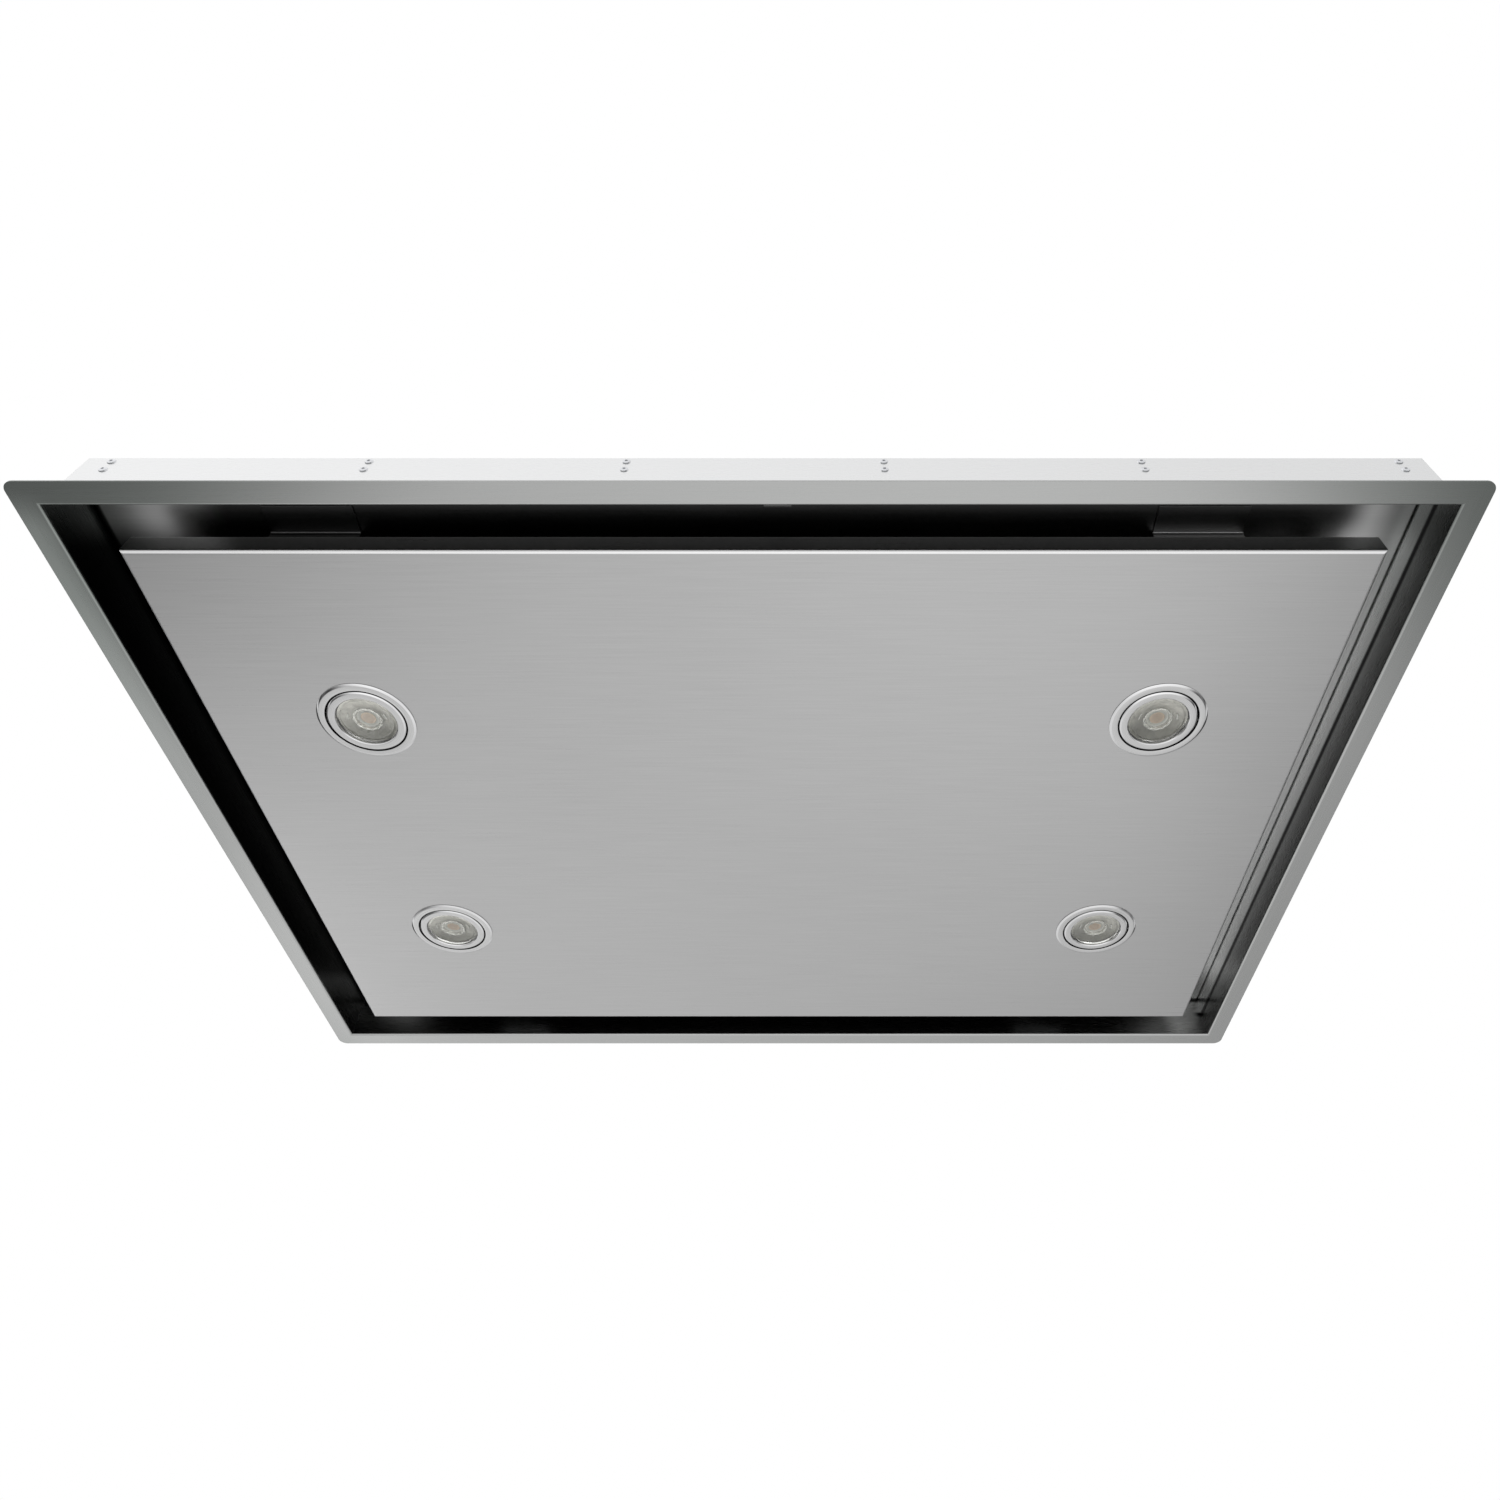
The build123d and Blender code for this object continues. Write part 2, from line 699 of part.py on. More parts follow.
def duct_collar():
    bore = collar_radius - collar_sheet
    foot = Box(
        2 * (collar_radius + collar_foot),
        2 * (collar_radius + collar_foot),
        collar_foot_sheet,
        align=ON_FLOOR,
    )
    collar = foot + Cylinder(collar_radius, collar_height, align=ON_FLOOR)
    collar -= Cylinder(bore, 3 * collar_height, align=MID)
    stop_top = damper_height - flap_sheet / 2 - body_gap
    stop = Pos(bore - stop_reach, 0, stop_top) * Box(
        stop_reach + collar_sheet / 2,
        stop_length,
        stop_sheet,
        align=(Align.MIN, Align.CENTER, Align.MAX),
    )
    for angle in (45, 135, 225, 315):
        collar += Rot(0, 0, angle) * stop
    pin_hole = Rot(0, 90, 0) * Cylinder(damper_pin_radius + damper_fit / 2, 3 * bore, align=MID)
    collar -= Pos(0, 0, damper_height) * pin_hole
    return Pos(0, outlet_y, box_top) * collar


def damper_pin():
    pin = Rot(0, 90, 0) * Cylinder(damper_pin_radius, 2 * collar_radius - collar_sheet, align=MID)
    return Pos(0, outlet_y, damper_z) * pin


def damper_flap(side):
    """Half-round flap on the +Y or -Y side, its knuckle beside the other flap's."""
    sheet = Cylinder(flap_radius, flap_sheet, align=MID)
    sheet -= Pos(0, flap_edge, 0) * Box(
        3 * flap_radius, 3 * flap_radius, through, align=(Align.CENTER, Align.MAX, Align.CENTER)
    )
    knuckle = Rot(0, 90, 0) * Cylinder(knuckle_radius, knuckle_length, align=MID)
    web = Box(knuckle_length, flap_edge + overlap, flap_sheet, align=(Align.CENTER, Align.MIN, Align.CENTER))
    flap = sheet + Pos((knuckle_length + knuckle_gap) / 2, 0, 0) * (knuckle + web)
    flap -= Rot(0, 90, 0) * Cylinder(damper_pin_radius + damper_fit, 3 * flap_radius, align=MID)
    turn = 0 if side > 0 else 180
    return Pos(0, outlet_y, damper_z) * Rot(0, 0, turn) * flap


# ---- electrics ----
control_x = box_length / 2 + box_foot + control_gap + control_length / 2


def control_box():
    lid = folded_tray(control_length, control_width, control_height, box_sheet, box_bend)
    lid = Pos(0, 0, control_height) * Rot(180, 0, 0) * lid
    bore = Rot(0, 90, 0) * Cylinder(inlet_bore_radius, through, align=MID)
    lid -= Pos(control_length / 2, 0, control_height / 2) * bore
    return Pos(control_x, 0, casing_top) * lid


def mains_inlet():
    nut = extrude(RegularPolygon(inlet_hex_radius, 6) - Circle(inlet_bore_radius), inlet_length)
    place = Pos(control_x + control_length / 2, 0, casing_top + control_height / 2)
    return place * Rot(0, 90, 0) * nut


def led_driver():
    body = Box(driver_length, driver_width, driver_height, align=ON_FLOOR)
    body = fillet(body.edges().filter_by(Axis.Z), driver_corner)
    return Pos(-control_x, 0, casing_top) * body


def remote_receiver():
    body = Box(
        receiver_width,
        receiver_depth,
        receiver_height,
        align=(Align.CENTER, Align.MIN, Align.MIN),
    )
    return Pos(receiver_x, near_wall, receiver_rise) * body


# ---- ceiling hangers ----
def hanger_bracket(x, y):
    """Z bracket: foot on the cover, shelf that takes the ceiling rod."""
    outward = 1 if y > 0 else -1
    low = casing_top + hanger_sheet / 2
    high = low + hanger_rise
    riser = y - outward * hanger_shelf / 2
    bracket = strip(
        [
            (riser - outward * hanger_foot, low),
            (riser, low),
            (riser, high),
            (riser + outward * hanger_shelf, high),
        ],
        hanger_sheet,
        hanger_bend,
        hanger_width,
    )
    bracket -= Pos(0, y, high) * Cylinder(rod_hole_radius, 4 * hanger_sheet, align=MID)
    return Pos(x, 0, 0) * bracket


# ---- write one file for each piece ----
pieces = {
    "outer_frame": outer_frame(),
    "recess_pan": recess_pan(),
    "top_cover": top_cover(),
    "wall_rivets": wall_rivets(),
    "suction_panel": suction_panel(),
    "panel_rail_left": panel_rail(-rail_x),
    "panel_rail_right": panel_rail(rail_x),
    "hinge_fixed_leaf_left": hinge_fixed_leaf(-hinge_x),
    "hinge_fixed_leaf_right": hinge_fixed_leaf(hinge_x),
    "hinge_moving_leaf_left": hinge_moving_leaf(-hinge_x),
    "hinge_moving_leaf_right": hinge_moving_leaf(hinge_x),
    "hinge_pins": hinge_pins(),
    "catch_bracket_left": catch_bracket(-catch_x),
    "catch_bracket_right": catch_bracket(catch_x),
    "catch_magnets": catch_magnets(),
    "strike_plates": strike_plates(),
    "lamp_trims": lamp_trims(),
    "fan_scroll": fan_scroll(),
    "impeller": impeller(),
    "motor_shaft": motor_shaft(),
    "fan_motor": fan_motor(),
    "run_capacitor": run_capacitor(),
    "motor_box": motor_box(),
    "duct_collar": duct_collar(),
    "damper_pin": damper_pin(),
    "damper_flap_left": damper_flap(-1),
    "damper_flap_right": damper_flap(1),
    "control_box": control_box(),
    "mains_inlet": mains_inlet(),
    "led_driver": led_driver(),
    "remote_receiver": remote_receiver(),
}
for number, (lamp_cx, lamp_cy) in enumerate(lamp_centres, start=1):
    pieces[f"lamp_ring_{number}"] = lamp_ring(lamp_cx, lamp_cy)
    pieces[f"lamp_lens_{number}"] = lamp_lens(lamp_cx, lamp_cy)
    pieces[f"lamp_housing_{number}"] = lamp_housing(lamp_cx, lamp_cy)
for side_name, side_x in (("left", -filter_x), ("right", filter_x)):
    pieces[f"filter_frame_{side_name}"] = filter_frame(side_x)
    pieces[f"filter_mesh_{side_name}"] = filter_mesh(side_x)
    pieces[f"filter_latch_{side_name}"] = filter_latch(side_x)
hanger_centres = [(x, y) for y in (-hanger_y, hanger_y) for x in (-hanger_x, hanger_x)]
for number, (hanger_cx, hanger_cy) in enumerate(hanger_centres, start=1):
    pieces[f"hanger_bracket_{number}"] = hanger_bracket(hanger_cx, hanger_cy)

os.makedirs("parts", exist_ok=True)
for name, piece in pieces.items():
    export_step(piece, f"parts/{name}.step")
print(len(pieces), "pieces written")
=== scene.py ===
from math import cos, pi, radians, sin

import bmesh
import bpy
from mathutils import Matrix, Vector


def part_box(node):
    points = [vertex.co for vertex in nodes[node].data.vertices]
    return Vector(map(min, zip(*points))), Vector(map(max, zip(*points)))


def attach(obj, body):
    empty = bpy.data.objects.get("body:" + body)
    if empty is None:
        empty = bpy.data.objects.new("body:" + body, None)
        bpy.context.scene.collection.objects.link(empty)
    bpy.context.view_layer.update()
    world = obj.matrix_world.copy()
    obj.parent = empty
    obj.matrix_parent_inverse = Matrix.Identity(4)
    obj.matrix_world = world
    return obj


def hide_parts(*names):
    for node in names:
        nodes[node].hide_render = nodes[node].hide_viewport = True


# Ceiling range hood with perimeter suction. Metres, +Z up, ceiling surface at z = 0.
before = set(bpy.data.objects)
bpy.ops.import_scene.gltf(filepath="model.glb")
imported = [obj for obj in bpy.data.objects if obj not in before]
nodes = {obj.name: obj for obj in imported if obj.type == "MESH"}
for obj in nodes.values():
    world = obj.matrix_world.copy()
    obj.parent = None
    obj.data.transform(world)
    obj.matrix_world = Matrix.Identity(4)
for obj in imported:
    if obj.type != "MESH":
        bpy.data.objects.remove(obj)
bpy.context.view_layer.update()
mm = 0.001
print("frame loaded:", len(nodes), "nodes")


def feed(tree, node, values):
    # links what is a socket, and writes any other value on the input itself
    for name, value in values.items():
        if isinstance(value, bpy.types.NodeSocket):
            tree.links.new(value, node.inputs[name])
        else:
            node.inputs[name].default_value = value


def addNode(tree, kind, values=None, **settings):
    # gives back the new node's outputs
    node = tree.nodes.new(kind)
    for name, value in settings.items():
        setattr(node, name, value)
    feed(tree, node, values or {})
    return node.outputs


def calc(tree, operation, *terms, clamp=False):
    values = dict(enumerate(terms))
    return addNode(tree, "ShaderNodeMath", values, operation=operation, use_clamp=clamp)[0]


def times(tree, first, second):
    return calc(tree, "MULTIPLY", first, second)


def folded(tree, operation, parts):
    total = parts[0]
    for part in parts[1:]:
        total = calc(tree, operation, total, part)
    return total


def vectorCalc(tree, operation, *terms):
    made = addNode(tree, "ShaderNodeVectorMath", dict(enumerate(terms)), operation=operation)
    return made["Value" if operation in ("LENGTH", "DISTANCE", "DOT_PRODUCT") else "Vector"]


def scaled(tree, vector, share):
    values = {0: vector, "Scale": share}
    return addNode(tree, "ShaderNodeVectorMath", values, operation="SCALE")[0]


def axes(tree, vector):
    return addNode(tree, "ShaderNodeSeparateXYZ", {0: vector})[:]


def ranged(tree, value, low, high, start=0.0, end=1.0, way="LINEAR"):
    values = {"Value": value, "From Min": start, "From Max": end, "To Min": low, "To Max": high}
    return addNode(tree, "ShaderNodeMapRange", values, interpolation_type=way)[0]


def fade(tree, value, start, end, low=0.0, high=1.0):
    return ranged(tree, value, low, high, start, end, "SMOOTHSTEP")


def mixedValue(tree, mask, first, second):
    values = {"Factor": mask, "A": first, "B": second}
    return addNode(tree, "ShaderNodeMix", values, data_type="FLOAT")["Result"]


def mixedColor(tree, mask, *colors):
    first, second = (
        color if isinstance(color, bpy.types.NodeSocket) else (*color, 1.0) for color in colors
    )
    values = {"Factor": mask, 6: first, 7: second}
    return addNode(tree, "ShaderNodeMix", values, data_type="RGBA")[2]


def declare(tree, way, values):
    # one socket per name: None makes a vector, and a number makes its own kind
    kinds = {type(None): "Vector", int: "Int", float: "Float"}
    for label, value in values.items():
        kind = "NodeSocket" + kinds[type(value)]
        socket = tree.interface.new_socket(label, in_out=way, socket_type=kind)
        if value is not None:
            socket.default_value = value


def newGroup(name, inputs, outputs):
    group = bpy.data.node_groups.new(name, "ShaderNodeTree")
    declare(group, "INPUT", inputs)
    declare(group, "OUTPUT", outputs)
    return group, group.nodes.new("NodeGroupInput").outputs, group.nodes.new("NodeGroupOutput")


def placeGroup(tree, group, values):
    return addNode(tree, "ShaderNodeGroup", values, node_tree=group)


def swungTone(group, pattern, strength):
    # one, and a little more or less as the pattern swings about its middle
    swing = times(group, calc(group, "SUBTRACT", pattern, 0.5), strength)
    return calc(group, "ADD", swing, 1.0)


def noise(group, values):
    return addNode(group, "ShaderNodeTexNoise", values)["Fac"]


# shared effects: each group gives masks, tones or normals only


def makeBrushedGrain():
    inputs = {"Vector": None, "Streak Length": 0.06, "Streak Width": 0.0012, "Strength": 0.1}
    group, into, out = newGroup("brushedGrain", inputs, {"Tone": 0.0, "Height": 0.0})
    along = calc(group, "DIVIDE", 1.0, into["Streak Length"])
    across = calc(group, "DIVIDE", 1.0, into["Streak Width"])
    scale = addNode(group, "ShaderNodeCombineXYZ", {0: along, 1: across, 2: across})[0]
    stretched = vectorCalc(group, "MULTIPLY", into["Vector"], scale)
    streaks = noise(group, {"Vector": stretched, "Scale": 1.0, "Detail": 5.0, "Roughness": 0.65})
    feed(group, out, {"Tone": swungTone(group, streaks, into["Strength"]), "Height": streaks})
    return group


def makeCloudyTone():
    inputs = {"Vector": None, "Patch Size": 0.15, "Strength": 0.1}
    group, into, out = newGroup("cloudyTone", inputs, {"Tone": 0.0, "Mask": 0.0})
    scale = calc(group, "DIVIDE", 1.0, into["Patch Size"])
    cloud = {"Vector": into["Vector"], "Scale": scale, "Detail": 2.0, "Roughness": 0.5}
    patches = noise(group, cloud)
    feed(group, out, {"Tone": swungTone(group, patches, into["Strength"]), "Mask": patches})
    return group


def makeZincSpangle():
    inputs = {"Vector": None, "Crystal Size": 0.006, "Strength": 0.1}
    group, into, out = newGroup("zincSpangle", inputs, {"Tone": 0.0, "Mask": 0.0})
    scale = calc(group, "DIVIDE", 1.0, into["Crystal Size"])
    cells = {"Vector": into["Vector"], "Scale": scale, "Randomness": 1.0}
    crystals = addNode(group, "ShaderNodeTexVoronoi", cells)["Color"]
    shade = addNode(group, "ShaderNodeSeparateColor", {0: crystals})
    feed(group, out, {"Tone": swungTone(group, shade[0], into["Strength"]), "Mask": shade[1]})
    return group


def makeWornEdge():
    gain = 6.0
    inputs = {"Width": 0.0005, "Patch Size": 0.02}
    group, into, out = newGroup("wornEdge", inputs, {"Mask": 0.0, "Normal": None})
    eased = addNode(group, "ShaderNodeBevel", {"Radius": into["Width"]}, samples=4)[0]
    flat = addNode(group, "ShaderNodeNewGeometry")["Normal"]
    bend = calc(group, "SUBTRACT", 1.0, vectorCalc(group, "DOT_PRODUCT", eased, flat))
    place = addNode(group, "ShaderNodeTexCoord")["Object"]
    scale = calc(group, "DIVIDE", 1.0, into["Patch Size"])
    breakUp = noise(group, {"Vector": place, "Scale": scale, "Detail": 3.0})
    worn = times(group, bend, times(group, breakUp, gain))
    feed(group, out, {"Mask": calc(group, "MINIMUM", worn, 1.0, clamp=True), "Normal": eased})
    return group


def makeSettledDust():
    inputs = {"Vector": None, "Amount": 0.3}
    group, into, out = newGroup("settledDust", inputs, {"Mask": 0.0})
    surface = addNode(group, "ShaderNodeNewGeometry")["Normal"]
    upward = calc(group, "MULTIPLY", axes(group, surface)[2], 1.0, clamp=True)
    specks = {"Vector": into["Vector"], "Scale": 45.0, "Detail": 6.0, "Roughness": 0.7}
    lying = times(group, upward, noise(group, specks))
    feed(group, out, {"Mask": calc(group, "MULTIPLY", lying, into["Amount"], clamp=True)})
    return group


brushedGrain = makeBrushedGrain()
cloudyTone = makeCloudyTone()
zincSpangle = makeZincSpangle()
wornEdge = makeWornEdge()
settledDust = makeSettledDust()


# materials


def newMaterial(name):
    material = bpy.data.materials.new(name)
    material.use_nodes = True
    tree = material.node_tree
    place = addNode(tree, "ShaderNodeTexCoord")["Object"]
    return material, tree, tree.nodes["Principled BSDF"], place


def grainOf(tree, place, values):
    names = {"Streak Length": "streakLength", "Streak Width": "streakWidth", "Strength": "streaks"}
    sizes = {label: values[name] for label, name in names.items()}
    return placeGroup(tree, brushedGrain, {"Vector": place, **sizes})


def cloudsOf(tree, place, size, strength):
    values = {"Vector": place, "Patch Size": size, "Strength": strength}
    return placeGroup(tree, cloudyTone, values)


def wearOf(tree, width, size):
    return placeGroup(tree, wornEdge, {"Width": width, "Patch Size": size})


def facingUp(tree, place):
    # how far the surface faces up, in the piece's own frame
    return axes(tree, place.node.outputs["Normal"])[2]


def tinted(tree, color, tones):
    return scaled(tree, color, folded(tree, "MULTIPLY", tones))


def bumped(tree, height, depth, normal=None):
    values = {"Height": height, "Strength": 1.0, "Distance": depth}
    if normal is not None:
        values["Normal"] = normal
    return addNode(tree, "ShaderNodeBump", values)[0]


def finish(tree, shader, values, color, height, edge=None, rough=None, **others):
    # height drives the bump, and the roughness too when nothing else does
    inputs = {
        "Base Color": color,
        "Roughness": ranged(tree, rough or height, *values["roughness"]),
        "Normal": bumped(tree, height, values["depth"], edge and edge["Normal"]),
        **others,
    }
    feed(tree, shader, inputs)


panelSteel = {
    "color": (0.47, 0.47, 0.47),
    "streakLength": 0.07,
    "streakWidth": 0.0014,
    "streaks": 0.24,
    "clouds": (0.22, 0.05),
    "roughness": (0.24, 0.34),
    "depth": 0.000012,
    "edge": (0.0006, 0.05),
}
# painted highlight along the panel's bends: its colour and how far the bends face up
panelBendHighlight = {"color": (0.74, 0.74, 0.74), "rise": (0.25, 0.5), "fall": (0.99, 0.94)}
panSteel = {
    **panelSteel,
    "color": (0.36, 0.36, 0.36),
    "roughness": (0.3, 0.42),
    "streaks": 0.2,
    # painted shade along the pan's edge, where it meets the walls
    "border": ((0.4818, 0.3318), 0.0055, 0.06),  # half sizes, width and tone
    # painted shade and light of the slot: from left to right, and on its long strips
    "sides": (0.14, 1.35),
    "strip": (0.3, 1.2, 1.1),
}
# where the slot's painted shade and light change
recess = {"side": 0.48, "left": (-0.415, -0.385), "right": (0.432, 0.454), "strip": (0.27, 0.30)}


def borderShade(tree, place, reach, width, tone):
    # painted shade where the pan meets the walls: darker within width of a rectangle's edge, but
    # for its right end
    x, y, _ = axes(tree, place)
    left = calc(tree, "ADD", x, reach[0])
    side = calc(tree, "SUBTRACT", reach[1], calc(tree, "ABSOLUTE", y))
    return fade(tree, calc(tree, "MINIMUM", left, side), width * 0.5, width, tone)


def recessShade(tree, place, values):
    # painted shade and light in the slot: dark on the left, pale on the right, and dark along its
    # long strips
    x, y, _ = axes(tree, place)
    side = fade(tree, x, -recess["side"], recess["side"], *values["sides"])
    dark, left, right = values["strip"]
    leftEnd = fade(tree, x, *recess["left"], left, dark)
    rightEnd = fade(tree, x, *recess["right"], dark, right)
    strip = fade(tree, calc(tree, "ABSOLUTE", y), *recess["strip"])
    return mixedValue(tree, strip, side, calc(tree, "MAXIMUM", leftEnd, rightEnd))


def brushedSheet(name, values, bend=None):
    material, tree, shader, place = newMaterial(name)
    grain = grainOf(tree, place, values)
    edge = wearOf(tree, *values["edge"])
    tones = [grain["Tone"], cloudsOf(tree, place, *values["clouds"])["Tone"]]
    if "border" in values:
        tones.append(borderShade(tree, place, *values["border"]))
        tones.append(recessShade(tree, place, values))
    color = tinted(tree, values["color"], tones)
    if bend:
        # painted highlight: the bends are painted brighter than the flats
        level = calc(tree, "ABSOLUTE", facingUp(tree, place))
        mask = times(tree, fade(tree, level, *bend["rise"]), fade(tree, level, *bend["fall"]))
        color = mixedColor(tree, mask, color, bend["color"])
    finish(tree, shader, values, color, grain["Height"], edge, Metallic=1.0)
    return material


flangeSteel = {
    "color": (0.45, 0.455, 0.45),
    # the casing's outside, painted pale as a painted sheen
    "outside": (0.95, 0.955, 0.96),
    "streakLength": 0.05,
    "streakWidth": 0.0010,
    "streaks": 0.14,
    "roughness": (0.24, 0.32),
    "depth": 0.000006,
    "edge": (0.0005, 0.05),
    "opening": (0.482, 0.332),
    "skin": 0.0006,  # from the opening's edge into the sheet
    "lip": 0.0012,  # height above which the walls begin
    # painted shade on the near corners: its colour and where it reaches
    "cornerShadeColor": (0.20, 0.215, 0.205),
    "cornerShadeScale": (0.8, 0.7, 0.0),
    "cornerShadeShift": (-0.03, -0.12, 0.0),
    "cornerShadeReach": (0.40, 0.53),
    # painted sheen on the flat's left side
    "sheen": 2.0,
    "sheenAlong": (-0.35, -0.31, 0.02),
    "sheenAcross": (-0.47, -0.5),
    # a painted shadow line on the right wall, with painted light above it
    "shadowLine": (0.0210, 0.0250, 0.0290),
    "shadowLineCore": 0.0008,
    "shadowLineTone": 0.02,
    "shadowLineSides": (0.6, 1.15),  # tones below and above it
    "shadowLineWall": (0.47, 0.48),
    # painted shade and light of the slot: from left to right, and on its long strips
    "sides": (0.26, 1.85),
    "strip": (0.4, 0.45, 1.25),
}


def sheenTone(tree, x, y, values):
    # painted sheen: the flat's left side is painted brighter from the near corner to its middle
    start, peak, end = values["sheenAlong"]
    rise = fade(tree, y, start, peak, 1.0, values["sheen"])
    sheen = times(tree, rise, fade(tree, y, peak, end, 1.0, 1.0 / values["sheen"]))
    return mixedValue(tree, fade(tree, x, *values["sheenAcross"]), 1.0, sheen)


def shadowLineTone(tree, x, z, values):
    # painted shade and light on the right wall: a dark painted shadow line, a pale painted band
    # above it and a duller tone below it; no seam is modelled there
    low, shadowLine, high = values["shadowLine"]
    dark, core = values["shadowLineTone"], values["shadowLineCore"]
    below = fade(tree, z, shadowLine - core, low, dark)
    above = fade(tree, z, shadowLine + core, high, dark)
    line = calc(tree, "MAXIMUM", below, above)
    wall = times(tree, fade(tree, z, shadowLine, high, *values["shadowLineSides"]), line)
    return mixedValue(tree, fade(tree, x, *values["shadowLineWall"]), 1.0, wall)


def flangeSheet(name, values):
    material, tree, shader, place = newMaterial(name)
    x, y, z = axes(tree, place)
    overX, overY = (
        calc(tree, "SUBTRACT", calc(tree, "ABSOLUTE", part), reach)
        for part, reach in zip((x, y), values["opening"])
    )
    # the grain runs along each side, so it is turned on the short ones
    shortSide = calc(tree, "GREATER_THAN", overX, overY)
    turnedPlace = addNode(tree, "ShaderNodeCombineXYZ", {0: y, 1: x, 2: z})[0]
    ways = {0: shortSide, 4: place, 5: turnedPlace}
    along = addNode(tree, "ShaderNodeMix", ways, data_type="VECTOR")[1]
    grain = grainOf(tree, along, values)
    edge = wearOf(tree, *values["edge"])
    # painted shade: the near corners are painted darker
    scale, shift = values["cornerShadeScale"], values["cornerShadeShift"]
    away = vectorCalc(tree, "LENGTH", vectorCalc(tree, "MULTIPLY_ADD", place, scale, shift))
    corner = fade(tree, away, *values["cornerShadeReach"])
    steel = mixedColor(tree, corner, values["color"], values["cornerShadeColor"])
    streaked = scaled(tree, steel, grain["Tone"])
    # the casing's outside is painted pale as a painted sheen, and its inside carries the slot's
    # painted shade and light
    beyond = calc(tree, "GREATER_THAN", calc(tree, "MAXIMUM", overX, overY), values["skin"])
    above = calc(tree, "GREATER_THAN", z, values["lip"])
    outside = times(tree, beyond, above)
    within = times(tree, above, calc(tree, "SUBTRACT", 1.0, beyond))
    inside = times(tree, recessShade(tree, place, values), shadowLineTone(tree, x, z, values))
    tone = mixedValue(tree, within, sheenTone(tree, x, y, values), inside)
    color = mixedColor(tree, outside, scaled(tree, streaked, tone), values["outside"])
    finish(tree, shader, values, color, grain["Height"], edge, Metallic=1.0)
    return material


zinc = {
    "color": (0.60, 0.61, 0.62),
    "edgeColor": (0.75, 0.76, 0.77),
    "dust": (0.33, 0.31, 0.28),
    "dustAmount": 0.28,
    "crystal": 0.007,
    "spangle": 0.22,
    "clouds": (0.09, 0.12),
    "edge": (0.0005, 0.03),
    "roughness": (0.32, 0.5),
    "depth": 0.0002,
}


def zincSheet(name, values):
    material, tree, shader, place = newMaterial(name)
    crystals = {"Crystal Size": values["crystal"], "Strength": values["spangle"]}
    spangle = placeGroup(tree, zincSpangle, {"Vector": place, **crystals})
    clouds = cloudsOf(tree, place, *values["clouds"])
    edge = wearOf(tree, *values["edge"])
    dust = placeGroup(tree, settledDust, {"Vector": place, "Amount": values["dustAmount"]})
    color = tinted(tree, values["color"], [spangle["Tone"], clouds["Tone"]])
    bright = mixedColor(tree, edge["Mask"], color, values["edgeColor"])
    color = mixedColor(tree, dust["Mask"], bright, values["dust"])
    clean = calc(tree, "SUBTRACT", 1.0, dust["Mask"])
    masks = clouds["Mask"], edge, spangle["Mask"]
    finish(tree, shader, values, color, *masks, Metallic=clean)
    return material


metal = {
    "clouds": (0.012, 0.2),
    "grit": 0.15,
    "edge": (0.0004, 0.01),
    "swing": (-0.06, 0.08),
    "wear": (1.5, 0.05),
    "shade": (-0.4, -0.75),
}
plastic = {
    "clouds": (0.02, 0.15),
    "grit": 0.25,
    "grain": 0.0006,
    "edge": (0.0006, 0.01),
    "swing": (-0.05, 0.1),
}


def plainFinish(name, kind, color, roughness, grain, depth, metallic=0.0, coat=0.0, under=None):
    material, tree, shader, place = newMaterial(name)
    clouds = cloudsOf(tree, place, *kind["clouds"])
    grit = cloudsOf(tree, place, grain, kind["grit"])
    edge = wearOf(tree, *kind["edge"])
    base = tinted(tree, color, [clouds["Tone"], grit["Tone"]])
    if "wear" in kind:
        gain, lift = kind["wear"]
        lighter = [min(1.0, channel * gain + lift) for channel in color]
        base = mixedColor(tree, edge["Mask"], base, lighter)
    if under:
        # the side of a head that faces down stays in the shade of its own dome
        mask = fade(tree, facingUp(tree, place), *kind["shade"])
        base = mixedColor(tree, mask, base, under)
    values = {"roughness": [roughness + swing for swing in kind["swing"]], "depth": depth}
    layers = {"Metallic": metallic, "Coat Weight": coat}
    finish(tree, shader, values, base, grit["Mask"], edge, clouds["Mask"], **layers)
    return material


def mouldedPlastic(name, color, roughness, depth=0.00003, coat=0.0):
    return plainFinish(name, plastic, color, roughness, plastic["grain"], depth, coat=coat)


lampMetal = {
    "face": (0.58, 0.58, 0.58),
    # bevels painted paler as a painted highlight, walls painted near black as painted shade
    "bevel": (0.66, 0.66, 0.665),
    "wall": (0.012, 0.012, 0.013),
    "roughness": (0.22, 0.34),
    "bevelRoughness": 0.06,
    "ringsPerMetre": 1600.0,
    "ringTone": (0.93, 1.06),
    "ringDepth": 0.000006,
    "clouds": (0.02, 0.08),
    "faceLevel": (0.93, 0.985),  # how far a face or a bevel faces up
    "bevelLevel": (0.12, 0.3),
}


